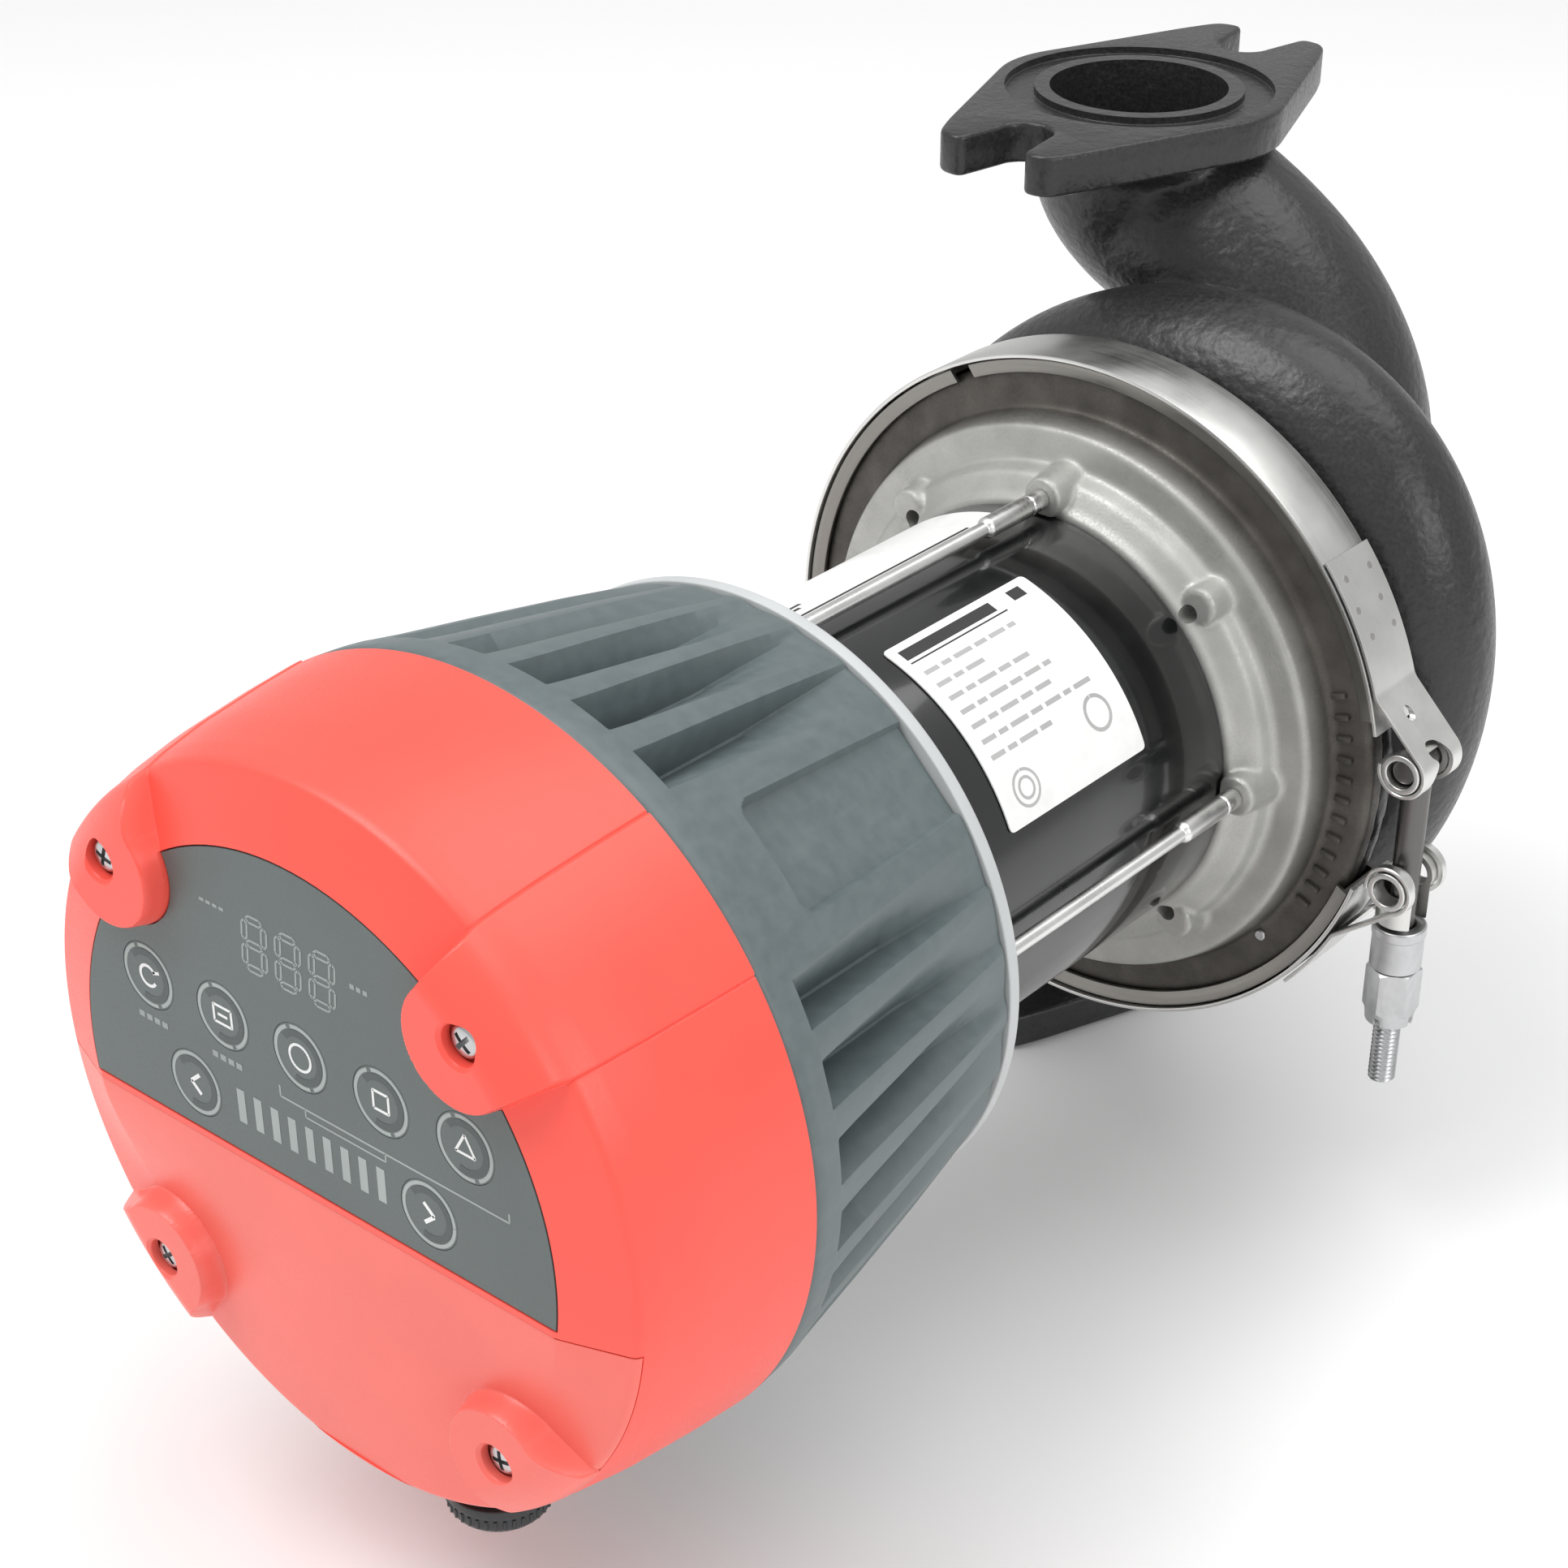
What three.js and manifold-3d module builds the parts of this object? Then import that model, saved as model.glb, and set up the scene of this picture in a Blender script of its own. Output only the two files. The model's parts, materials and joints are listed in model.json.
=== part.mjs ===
// Wet-rotor circulator pump: an inline volute on two pipe flanges, a V-band clamp, a canned motor
// and a tapered electronic drive head with a keypad.
//
// Millimetres. The rotor turns about Y; the control face looks towards -Y; the pipe runs along Z.
// While the pieces are made, x = z = 0 is the rotor axis and y = 0 lies just behind the clamp.
// At the end the whole group is shifted so that the centre of its bounding box is the origin.

import * as THREE from 'three';
import { mergeVertices } from 'three/addons/utils/BufferGeometryUtils.js';
import Module from 'manifold-3d';

const wasm = await Module();
wasm.setup();

// ---- Driving dimensions ----

const GAP = 0.3; // clearance between pieces that rest on each other
const RAD = Math.PI / 180;
const FINE = 36; // sides of the large turned parts
const MEDIUM = 24;
const SMALL = 10;

const PORT = {
  x: -36, // the pipe axis stands beside and behind the rotor axis
  y: 52,
  faceZ: 108, // half of the 216 mm flange-to-flange length
  bore: 19.05, // 1 1/2 inch pipe
  wall: 6.2,
  flangeDepth: 8.6,
  fingerReach: 52.5,
  boltHalfPitch: 40.1, // 80.2 mm between the two flange bolts
  slotHalfWidth: 5.8,
};

const SCROLL = { y: 20.5, halfWidth: 18, baseRadius: 73, bulge: 12.5, bulgeAngle: 52, passage: 12.5 };

const CLAMP = { front: -13.7, back: 1, outer: 74, inner: 73.1, flangeRadius: 71 };
const CLAMP_MIDDLE = (CLAMP.front + CLAMP.back) / 2;

const LATCH = {
  x: 78.5, // the bolt and both trunnions stand outside the band
  upperZ: 9.1,
  lowerZ: -17.9,
  barrel: 4.2,
  barrelBore: 3,
  shank: 2.9,
  tipZ: -67,
};

const ROD = { circle: 50.1, radius: 1.6, sleeve: 2.3, head: 3, front: -126, back: -19 };
const ROD_ANGLES = [0, 90, 180, 270];
const STATOR = { outer: 46.5, inner: 45, front: -121, back: -26.8 };
const ROTOR = { radius: 22.4, front: -92, back: -47, shaft: 5, bearingBore: 5.08, bearingOuter: 11 };
const IMPELLER = { radius: 45, disc: 8, bladeFront: 10.2, bladeBack: 21.6, blades: 6 };

const DRUM = { ringFront: -119.3, ringBack: -115.5, neck: 61.5, seam: -187, seamRadius: 74.7, inner: 57 };
const FACE = {
  crease: -224,
  creaseRadius: 69.5,
  panel: -228.8,
  panelRadius: 57,
  inside: -225.9, // the inner face of the front wall
  keypadZ: -7,
  lidZ: -7.6,
};
const EAR = { x: 42.1, upperZ: 43.4, lowerZ: -41, halfWidth: 12, tip: 47, upperFace: -233, lowerFace: -231 };
const KEY = { radius: 6.5, depth: 2.6, face: -228.9 };
const GLAND = { x: 17, y: -207, radius: 10.6, bottom: -80.6 };

// ---- Shape helpers: each returns a closed BufferGeometry ----

function toSolid(geometry) {
  const bare = geometry.clone();
  bare.deleteAttribute('normal');
  bare.deleteAttribute('uv');
  const merged = mergeVertices(bare, 1e-4);
  const points = merged.attributes.position;
  const corners = [0, 1, 2].map(() => new THREE.Vector3());
  const triangles = [];
  let volume = 0;
  for (let i = 0; i < merged.index.count; i += 3) {
    const triangle = [0, 1, 2].map((k) => merged.index.getX(i + k));
    if (new Set(triangle).size < 3) continue;
    triangles.push(triangle);
    corners.forEach((corner, k) => corner.fromBufferAttribute(points, triangle[k]));
    volume += corners[0].dot(corners[1].clone().cross(corners[2]));
  }
  const outward = volume < 0 ? triangles.map(([a, b, c]) => [a, c, b]) : triangles;
  const mesh = new wasm.Mesh({
    numProp: 3,
    vertProperties: new Float32Array(points.array),
    triVerts: new Uint32Array(outward.flat()),
  });
  return new wasm.Manifold(mesh);
}

function toGeometry(solid) {
  const mesh = solid.getMesh();
  const geometry = new THREE.BufferGeometry();
  geometry.setAttribute('position', new THREE.BufferAttribute(mesh.vertProperties, 3));
  geometry.setIndex(new THREE.BufferAttribute(mesh.triVerts, 1));
  return geometry;
}

function join(...pieces) {
  return toGeometry(pieces.map(toSolid).reduce((whole, piece) => whole.add(piece)));
}

// Cuts the tools away and keeps the largest body, so that no crumb is left in a corner.
function cut(base, ...tools) {
  const rest = tools.map(toSolid).reduce((solid, tool) => solid.subtract(tool), toSolid(base));
  const bodies = rest.decompose().sort((a, b) => b.volume() - a.volume());
  return toGeometry(bodies[0]);
}

function overlap(first, second) {
  return toGeometry(toSolid(first).intersect(toSolid(second)));
}

// A profile of [radius, y] points turned about the rotor axis. It closes on itself or on the axis.
function turned(profile, sides = MEDIUM) {
  const onAxis = profile[0][0] === 0 && profile[profile.length - 1][0] === 0;
  const loop = onAxis ? profile : [...profile, profile[0]];
  return new THREE.LatheGeometry(loop.map(([r, y]) => new THREE.Vector2(r, y)), sides);
}

function ring(outer, inner, front, back, sides = MEDIUM) {
  return turned([[outer, front], [outer, back], [inner, back], [inner, front]], sides);
}

function disc(radius, front, back, sides = MEDIUM) {
  return turned([[0, front], [radius, front], [radius, back], [0, back]], sides);
}

function block(width, depth, height, x, y, z) {
  return new THREE.BoxGeometry(width, depth, height).translate(x, y, z);
}

// A straight bar between two points.
function bar(radius, from, to, sides = SMALL) {
  const start = new THREE.Vector3(...from);
  const end = new THREE.Vector3(...to);
  const axis = end.clone().sub(start);
  const upright = new THREE.Vector3(0, 1, 0);
  const turn = new THREE.Quaternion().setFromUnitVectors(upright, axis.clone().normalize());
  const middle = start.clone().add(end).multiplyScalar(0.5);
  return new THREE.CylinderGeometry(radius, radius, axis.length(), sides)
    .applyQuaternion(turn)
    .translate(middle.x, middle.y, middle.z);
}

// A pipe-shaped solid along a smooth curve through the points.
function sweep(radius, points, steps = 11) {
  const path = new THREE.CatmullRomCurve3(points.map((p) => new THREE.Vector3(...p)));
  const section = new THREE.Shape().absarc(0, 0, radius, 0, 2 * Math.PI);
  const options = { extrudePath: path, steps, bevelEnabled: false, curveSegments: 6 };
  return new THREE.ExtrudeGeometry(section, options);
}

// An outline drawn in x and z (looking towards +Y), given depth from front to back along Y.
function plateAcrossY(outline, front, back) {
  const shape = new THREE.Shape(outline.map(([x, z]) => new THREE.Vector2(x, z)));
  const options = { depth: back - front, bevelEnabled: false };
  return new THREE.ExtrudeGeometry(shape, options).rotateX(Math.PI / 2).translate(0, back, 0);
}

// An outline drawn in x and y, given height from bottom to top along Z.
function plateAcrossZ(outline, bottom, top) {
  const shape = new THREE.Shape(outline.map(([x, y]) => new THREE.Vector2(x, y)));
  const options = { depth: top - bottom, bevelEnabled: false };
  return new THREE.ExtrudeGeometry(shape, options).translate(0, 0, bottom);
}

function arc(radius, fromDegrees, toDegrees, steps, x = 0, z = 0) {
  return Array.from({ length: steps + 1 }, (_, i) => {
    const angle = (fromDegrees + ((toDegrees - fromDegrees) * i) / steps) * RAD;
    return [x + radius * Math.cos(angle), z + radius * Math.sin(angle)];
  });
}

// Angles run from +X towards +Z. Rotating a geometry about Y turns it the other way.
function turnedTo(geometry, degrees) {
  return geometry.clone().rotateY(-degrees * RAD);
}

// Keeps the part of a turned piece that lies between two angles.
function sector(geometry, fromDegrees, toDegrees) {
  const outline = [[0, 0], ...arc(120, fromDegrees, toDegrees, 12)];
  return overlap(geometry, plateAcrossY(outline, -300, 100));
}

// A strip of even thickness that follows a centre line of [x, z] points.
function strip(line, thickness, front, back) {
  const left = [];
  const right = [];
  line.forEach(([x, z], i) => {
    const before = line[Math.max(i - 1, 0)];
    const after = line[Math.min(i + 1, line.length - 1)];
    const length = Math.hypot(after[0] - before[0], after[1] - before[1]);
    const shiftX = (-(after[1] - before[1]) / length) * (thickness / 2);
    const shiftZ = ((after[0] - before[0]) / length) * (thickness / 2);
    left.push([x + shiftX, z + shiftZ]);
    right.push([x - shiftX, z - shiftZ]);
  });
  return plateAcrossY([...left, ...right.reverse()], front, back);
}

// ---- Volute ----

// The scroll stands out furthest where it turns towards the pipe, and fades to both sides.
function swollen(geometry) {
  const position = geometry.attributes.position;
  for (let i = 0; i < position.count; i += 1) {
    const x = position.getX(i);
    const y = position.getY(i);
    const z = position.getZ(i);
    const radius = Math.hypot(x, z);
    if (radius < 30 || y < CLAMP.back + 1) continue;
    const away = THREE.MathUtils.euclideanModulo(Math.atan2(z, x) / RAD - SCROLL.bulgeAngle + 180, 360) - 180;
    const fade = away < 0 ? 45 : 62;
    const extra = SCROLL.bulge * Math.exp(-((away / fade) ** 2)) * ((radius - 30) / (SCROLL.baseRadius - 30));
    position.setX(i, (x * (radius + extra)) / radius);
    position.setZ(i, (z * (radius + extra)) / radius);
  }
  return geometry;
}

function scrollSection(tubeRadius, steps, fromDegrees, toDegrees) {
  const centre = SCROLL.baseRadius - SCROLL.halfWidth;
  return arc(tubeRadius, fromDegrees, toDegrees, steps, centre, SCROLL.y);
}

function scrollBody() {
  const outside = scrollSection(SCROLL.halfWidth, 6, -68, 80);
  const rim = CLAMP.flangeRadius;
  const front = [[0, -6.2], [rim, -6.2], [rim, -1.9], [64.5, -1.9], [64.5, 1.9]];
  return swollen(turned([...front, ...outside, [0, SCROLL.y + SCROLL.halfWidth]], FINE));
}

function scrollHollow() {
  const passage = scrollSection(SCROLL.passage, 4, -90, 90);
  const chamber = [[0, -7], [62.3, -7], [62.3, 1.5], [50, 1.5]];
  return swollen(turned([...chamber, ...passage, [50, 25.5], [0, 25.5]], FINE));
}

const SUCTION_PATH = [
  [0, 0, 0], [0, 0, -14], [5, 3, -23], [17, 4, -29], [30, 4.5, -38], [39.5, 4.5, -48],
  [46, 4, -59], [49, 3.5, -71], [48, 2, -86], [42, -2, -100], [36, -8, -108], [36, -26, -108],
].map(([x, y, z]) => [PORT.x + x, PORT.y + y, PORT.faceZ - 1 + z]);

const DISCHARGE_PATH = [
  [-46, 24, 24], [-52, 26, 6], [-56, 30, -18], [-55, 36, -42], [-47, 45, -66], [-39, 50.5, -86],
  [PORT.x, PORT.y, -98], [PORT.x, PORT.y, -PORT.faceZ + 1],
];

// Seen along the pipe: a round middle with two forked fingers that take the flange bolts.
function flangeOutline() {
  const slotEnd = PORT.boltHalfPitch - 5;
  const finger = [[8.5, PORT.fingerReach], [15.5, 51.5], [20.5, 45], [28.5, 17], [31, 6]];
  const slot = arc(PORT.slotHalfWidth, 270, 360, 4, 0, slotEnd + PORT.slotHalfWidth);
  const quarter = [...slot, ...finger];
  const right = [...quarter, ...quarter.map(([x, y]) => [x, -y]).reverse()];
  const left = right.slice(1, -1).map(([x, y]) => [-x, y]).reverse();
  return [...right, ...left].map(([x, y]) => [PORT.x + x, PORT.y + y]);
}

function flange(top) {
  const groove = new THREE.Shape().absarc(0, 0, 28.8, 0, 2 * Math.PI);
  groove.holes.push(new THREE.Path().absarc(0, 0, 22.4, 0, 2 * Math.PI));
  const grooveCut = new THREE.ExtrudeGeometry(groove, { depth: 3, bevelEnabled: false, curveSegments: SMALL })
    .translate(PORT.x, PORT.y, top ? PORT.faceZ - 1.5 : -PORT.faceZ - 1.5);
  const low = top ? PORT.faceZ - PORT.flangeDepth : -PORT.faceZ;
  return cut(plateAcrossZ(flangeOutline(), low, low + PORT.flangeDepth), grooveCut);
}

function portBore(fromZ, toZ) {
  return bar(PORT.bore, [PORT.x, PORT.y, fromZ], [PORT.x, PORT.y, toZ], MEDIUM);
}

function voluteCasing() {
  const outer = PORT.bore + PORT.wall;
  const pipes = [sweep(outer, SUCTION_PATH), sweep(outer, DISCHARGE_PATH)];
  const body = join(scrollBody(), ...pipes, flange(true), flange(false));
  return cut(
    body,
    scrollHollow(),
    sweep(PORT.bore, SUCTION_PATH),
    sweep(PORT.bore - 3, DISCHARGE_PATH),
    portBore(PORT.faceZ - 12, PORT.faceZ + 1),
    portBore(-PORT.faceZ + 12, -PORT.faceZ - 1),
    disc(25, 24, 36),
  );
}

// ---- Clamp and latch ----

function clampRetainer(fromDegrees, toDegrees) {
  const section = [
    [72.8, -12.9], [72.8, 0.2], [67, -0.3], [67, -1.4],
    [71.6, -1], [71.6, -11.7], [68.6, -11.45], [68.6, -12.5],
  ];
  return sector(turned(section, FINE), fromDegrees, toDegrees);
}

function clampStrap() {
  return sector(ring(CLAMP.outer, CLAMP.inner, CLAMP.front, CLAMP.back, FINE), 12, 344);
}

// The strap's end plate follows the band, leaves it and curls round its trunnion. The middle is
// open, so that the bolt can swing out.
function strapLoop(centreZ, plateFrom, plateTo, curlFrom, curlTo, slot) {
  const curl = LATCH.barrel + 0.75;
  const plate = arc(CLAMP.outer + 0.85, plateFrom, plateTo, 5);
  const loop = arc(curl, curlFrom, curlTo, 12, LATCH.x, centreZ);
  return cut(strip([...plate, ...loop], 0.9, CLAMP.front, CLAMP.back), slot);
}

function trunnionBarrel(centreZ) {
  const ends = [CLAMP.front - 0.3, CLAMP.back + 0.3];
  const [outside, inside] = [LATCH.barrel, LATCH.barrelBore].map((radius, i) =>
    bar(radius, [LATCH.x, ends[0] - i, centreZ], [LATCH.x, ends[1] + i, centreZ]));
  return { outside, inside };
}

function upperTrunnion() {
  const barrel = trunnionBarrel(LATCH.upperZ);
  const mouth = block(12, 7, 10, LATCH.x + 2.6, CLAMP_MIDDLE, LATCH.upperZ - 1.6);
  return cut(barrel.outside, barrel.inside, mouth);
}

function lowerTrunnion() {
  const barrel = trunnionBarrel(LATCH.lowerZ);
  const neck = bar(5.2, [LATCH.x, CLAMP_MIDDLE, LATCH.lowerZ], [LATCH.x, CLAMP_MIDDLE, -27.6]);
  const mouth = block(12, 6.8, 30, LATCH.x + 2.6, CLAMP_MIDDLE, LATCH.lowerZ);
  return cut(join(cut(barrel.outside, barrel.inside), neck), mouth);
}

function tBolt() {
  const at = (y, z) => [LATCH.x, y, z];
  const head = bar(2.6, at(CLAMP_MIDDLE - 6.2, LATCH.upperZ), at(CLAMP_MIDDLE + 6.2, LATCH.upperZ));
  const shank = bar(LATCH.shank, at(CLAMP_MIDDLE, LATCH.upperZ), at(CLAMP_MIDDLE, LATCH.tipZ));
  return join(head, shank);
}

function onBolt(radius, top, bottom, sides) {
  const at = (z) => [LATCH.x, CLAMP_MIDDLE, z];
  return cut(bar(radius, at(top), at(bottom), sides), bar(LATCH.shank + GAP, at(top + 1), at(bottom - 1)));
}

// ---- Pump cover, seals and motor ----

function pumpCover() {
  const section = [
    [33.4, -26.4], [47.2, -26.4], [51, -19], [53, -17.6], [60.5, -18], [64, -11],
    [CLAMP.flangeRadius, -11], [CLAMP.flangeRadius, -6.5], [61.7, -6.5], [61.7, -4.3], [58.6, -4.3],
    [58.6, -0.5], [55.5, -0.5], [55.5, -13], [37, -13], [37, -0.5], [14, -0.5], [14, -19.2], [33.4, -19.2],
  ];
  const onRods = (radius, front, back) => ROD_ANGLES.map((angle) =>
    turnedTo(bar(radius, [ROD.circle, front, 0], [ROD.circle, back, 0]), angle));
  const betweenRods = (radius, front, back, sides) => ROD_ANGLES.map((angle) =>
    turnedTo(bar(radius, [51.5, front, 0], [51.5, back, 0], sides), angle + 45));
  const motorSeat = disc(STATOR.outer + 0.4, -40, -26.4, FINE);
  const body = join(turned(section, FINE), ...onRods(5.5, -28.3, -15), ...betweenRods(4.2, -22, -15));
  const rodHoles = onRods(ROD.radius + GAP, -30, ROD.back + 1);
  return cut(body, motorSeat, ...rodHoles, ...betweenRods(1.6, -23, -16, 8));
}

function sealRing(centreRadius, sectionRadius, y, sides) {
  return turned(arc(sectionRadius, 0, 300, 5, centreRadius, y), sides);
}

function statorHousing() {
  const { outer, inner, front, back } = STATOR;
  const wall = 1.5;
  return turned([
    [outer, back], [outer, front], [8, front], [8, front + wall], [inner, front + wall], [inner, back],
  ], FINE);
}

function winding(front, back) {
  const height = back - front;
  const section = [
    [27.5, front], [41, front], [42.5, front + height * 0.3],
    [42.5, back], [26, back], [26, front + height * 0.3],
  ];
  return turned(section);
}

function rotorCan() {
  return turned([
    [0, -113], [24, -113], [24, -26.5], [33, -26.5], [33, -24.6], [23.2, -24.6], [23.2, -96], [11.3, -96],
    [11.3, -107.2], [0, -107.2],
  ]);
}

function bearingPlate() {
  return turned([
    [11.3, -19.5], [33, -19.5], [33, -20.7], [30.8, -20.7],
    [30.8, -23.1], [33, -23.1], [33, -24.3], [14.5, -24.3],
    [14.5, -30], [11.3, -30],
  ]);
}

function shaft() {
  return turned([[0, -106.6], [ROTOR.shaft, -106.6], [ROTOR.shaft, 7.6], [4.2, 7.6], [4.2, 26], [0, 26]], 24);
}

function impellerBlade() {
  const inner = 13;
  const outer = 44.2;
  const sweepBack = 70;
  const steps = 5;
  const centreLine = Array.from({ length: steps + 1 }, (_, i) => {
    const along = i / steps;
    const radius = inner + (outer - inner) * along;
    return [radius * Math.cos(sweepBack * along * RAD), radius * Math.sin(sweepBack * along * RAD)];
  });
  return strip(centreLine, 2.2, IMPELLER.bladeFront, IMPELLER.bladeBack);
}

function impeller() {
  const plate = ring(IMPELLER.radius, 4.5, IMPELLER.disc, IMPELLER.disc + 2.5, MEDIUM);
  const hub = ring(8, 4.5, IMPELLER.disc, 20, 24);
  const step = 360 / IMPELLER.blades;
  const blades = Array.from({ length: IMPELLER.blades }, (_, i) => turnedTo(impellerBlade(), i * step));
  return join(plate, hub, ...blades);
}

function impellerShroud() {
  return turned([[17, 21.9], [45, 21.9], [45, 24.2], [20.5, 24.2], [20.5, 30], [17, 30]]);
}

// A rod has a hexagon head inside the drive, a thin shank and a thicker sleeve at the pump cover.
function tieRod(angle) {
  const along = (y) => [ROD.circle, y, 0];
  const head = bar(ROD.head, along(ROD.front), along(-123), 6);
  const shank = bar(ROD.radius, along(ROD.front), along(ROD.back));
  const sleeve = bar(ROD.sleeve, along(-47), along(-28.7));
  return turnedTo(join(head, shank, sleeve), angle);
}

// A thin sheet wrapped on the motor housing.
function wrappedLabel(fromDegrees, toDegrees, front, back) {
  return sector(ring(STATOR.outer + 0.5, STATOR.outer + 0.2, front, back, FINE), fromDegrees, toDegrees);
}

// ---- Drive ----

const DRUM_OUTSIDE = [
  [DRUM.neck, DRUM.ringFront - GAP], [65.5, -138], [69.6, -158], [72.8, -174], [74.2, -181],
  [DRUM.seamRadius, DRUM.seam],
];

// A cooling slot is widest and deepest next to the seam and runs out to a point at the neck.
function coolingSlot() {
  const outline = [[-4.4, 0], [4.4, 0], [4.4, 6], [0.7, 59], [-0.7, 59], [-4.4, 6]];
  return plateAcrossZ(outline, 0, 20).rotateX(0.085).translate(0, -180, 65.5);
}

function sidePanel() {
  const outline = [[-9, 0], [9, 0], [11, 2], [10, 47], [8, 49], [-8, 49], [-10, 47], [-11, 2]];
  return plateAcrossZ(outline, 0, 12).rotateX(-0.175).translate(0, -170, 69.4);
}

function driveHousing() {
  const motorMouth = STATOR.outer + 0.4;
  const inside = [
    [DRUM.inner, DRUM.seam], [DRUM.inner, -122.8], [motorMouth, -122.8], [motorMouth, DRUM.ringFront - GAP],
  ];
  const spread = [-27.5, -16.5, -5.5, 5.5, 16.5, 27.5];
  const slotAngles = ROD_ANGLES.flatMap((quarter) => spread.map((a) => quarter + a));
  const slots = slotAngles.map((angle) => turnedTo(coolingSlot(), angle - 90));
  const panels = ROD_ANGLES.map((quarter) => turnedTo(sidePanel(), quarter + 45 - 90));
  return cut(turned([...DRUM_OUTSIDE, ...inside], FINE), ...slots, ...panels, ...rodPassages());
}

function rodPassages() {
  return ROD_ANGLES.map((angle) =>
    turnedTo(bar(ROD.radius + GAP, [ROD.circle, -128, 0], [ROD.circle, -110, 0]), angle));
}

function housingRing() {
  const body = ring(DRUM.neck, STATOR.outer + 0.7, DRUM.ringFront, DRUM.ringBack, FINE);
  return cut(body, ...rodPassages());
}

// A rounded tongue that runs inwards from the rim and carries a cover screw.
function tongue(x, z, grow, front, back) {
  const direction = Math.atan2(z, x) / RAD;
  const width = EAR.halfWidth + grow;
  const nose = arc(width, 90, 270, 6, EAR.tip + EAR.halfWidth, 0);
  return turnedTo(plateAcrossY([[80, -width], [80, width], ...nose], front, back), direction);
}

// The side wall's cone, with a front that rolls off to the crease outside the screws.
function earEnvelope(front, back) {
  const slope = (FACE.creaseRadius - DRUM.seamRadius) / (FACE.crease - DRUM.seam);
  const radiusAt = (y) => DRUM.seamRadius + slope * (y - DRUM.seam) - 0.1;
  const crease = [radiusAt(FACE.crease - 1), FACE.crease - 1];
  const rim = front < FACE.crease ? [[63.5, front], [67.2, front + 2.2], crease] : [[radiusAt(front), front]];
  return turned([[0, front], ...rim, [radiusAt(back), back], [0, back]], FINE);
}

function ear(x, z, front, back) {
  return overlap(tongue(x, z, 0, front, back), earEnvelope(front, back));
}

function screwHole(x, z, face) {
  return join(bar(3.6, [x, face - 1, z], [x, face + 4, z]), bar(2, [x, face + 3, z], [x, -190, z], 12));
}

const KEY_ROW_Z = 20.4;
const ARROW_Z = 2.7;
const KEYS = {
  key_auto: [-38, KEY_ROW_Z],
  key_input: [-19, KEY_ROW_Z],
  key_mode_a: [0, KEY_ROW_Z],
  key_mode_b: [19, KEY_ROW_Z],
  key_mode_c: [38, KEY_ROW_Z],
  key_down: [-28.4, ARROW_Z],
  key_up: [28.4, ARROW_Z],
};

function keyPlug([x, z], radius, front, back) {
  return bar(radius, [x, front, z], [x, back, z], 16);
}

// Everything in front of the lid's joint plane and below the keypad.
function belowKeypad(top, back) {
  return block(200, 40, 200, 0, back - 20, top - 100);
}

function controlCover() {
  const shell = turned([
    [DRUM.seamRadius, DRUM.seam - GAP], [73.9, -197], [72.3, -211], [FACE.creaseRadius, FACE.crease],
    [FACE.panelRadius, FACE.panel], [0, FACE.panel], [0, FACE.inside], [55.5, FACE.inside], [66, -221.2],
    [70.8, -197], [71.4, DRUM.seam - GAP],
  ], FINE);
  const upper = [[EAR.x, EAR.upperZ], [-EAR.x, EAR.upperZ]];
  const lower = [[EAR.x, EAR.lowerZ], [-EAR.x, EAR.lowerZ]];
  const keypadSeat = overlap(
    disc(FACE.panelRadius - 0.1, -232, FACE.panel + 1.9, FINE),
    block(200, 20, 100, 0, -230, 50 + FACE.keypadZ),
  );
  const body = cut(shell, belowKeypad(FACE.lidZ, -220.6), keypadSeat);
  const upperEars = upper.map(([x, z]) => ear(x, z, EAR.upperFace, -200));
  const lowerPosts = lower.map(([x, z]) => ear(x, z, -220.6, -200));
  const keyHoles = Object.values(KEYS).map((place) => keyPlug(place, KEY.radius + 0.5, -232, -225));
  return cut(
    join(body, ...upperEars, ...lowerPosts),
    ...upper.map(([x, z]) => screwHole(x, z, EAR.upperFace)),
    ...lower.map(([x, z]) => screwHole(x, z, -224)),
    ...keyHoles,
    bar(8.8, [GLAND.x, GLAND.y, -60], [GLAND.x, GLAND.y, -80]),
  );
}

function terminalCover() {
  const shell = turned([
    [0, FACE.panel], [FACE.panelRadius, FACE.panel], [FACE.creaseRadius - 0.3, FACE.crease],
    [FACE.creaseRadius - 0.1, -221], [65.5, -221], [55, FACE.inside], [0, FACE.inside],
  ], FINE);
  const lower = [[EAR.x, EAR.lowerZ], [-EAR.x, EAR.lowerZ]];
  const ears = lower.map(([x, z]) => ear(x, z, EAR.lowerFace, -221));
  const below = block(200, 40, 200, 0, -225, FACE.lidZ - GAP - 100);
  return cut(join(overlap(shell, below), ...ears), ...lower.map(([x, z]) => screwHole(x, z, EAR.lowerFace)));
}

function keypadOverlay() {
  const base = disc(FACE.panelRadius - 0.5, FACE.panel + 0.1, FACE.panel + 1.7, FINE);
  const above = block(200, 20, 100, 0, FACE.panel, 50 + FACE.keypadZ + 0.4);
  const ears = [EAR.x, -EAR.x].map((x) => tongue(x, EAR.upperZ, 0.4, -240, -220));
  const holes = Object.values(KEYS).map((place) => keyPlug(place, KEY.radius + 0.4, -235, -225));
  return cut(overlap(base, above), ...ears, ...holes);
}

function coverScrew(x, z, face) {
  const head = bar(3.2, [x, face + 1.4, z], [x, face + 3.7, z]);
  return join(head, bar(1.7, [x, face + 3, z], [x, face + 24, z], 12));
}

function displayBoard() {
  const board = block(60, 1.6, 40, 0, -221, 14);
  const display = block(30, 2.6, 12, 0, -222.8, 27);
  const chips = [-18, 0, 18].map((x) => block(8, 1.6, 8, x, -219.6, 6));
  return join(board, display, ...chips);
}

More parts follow.
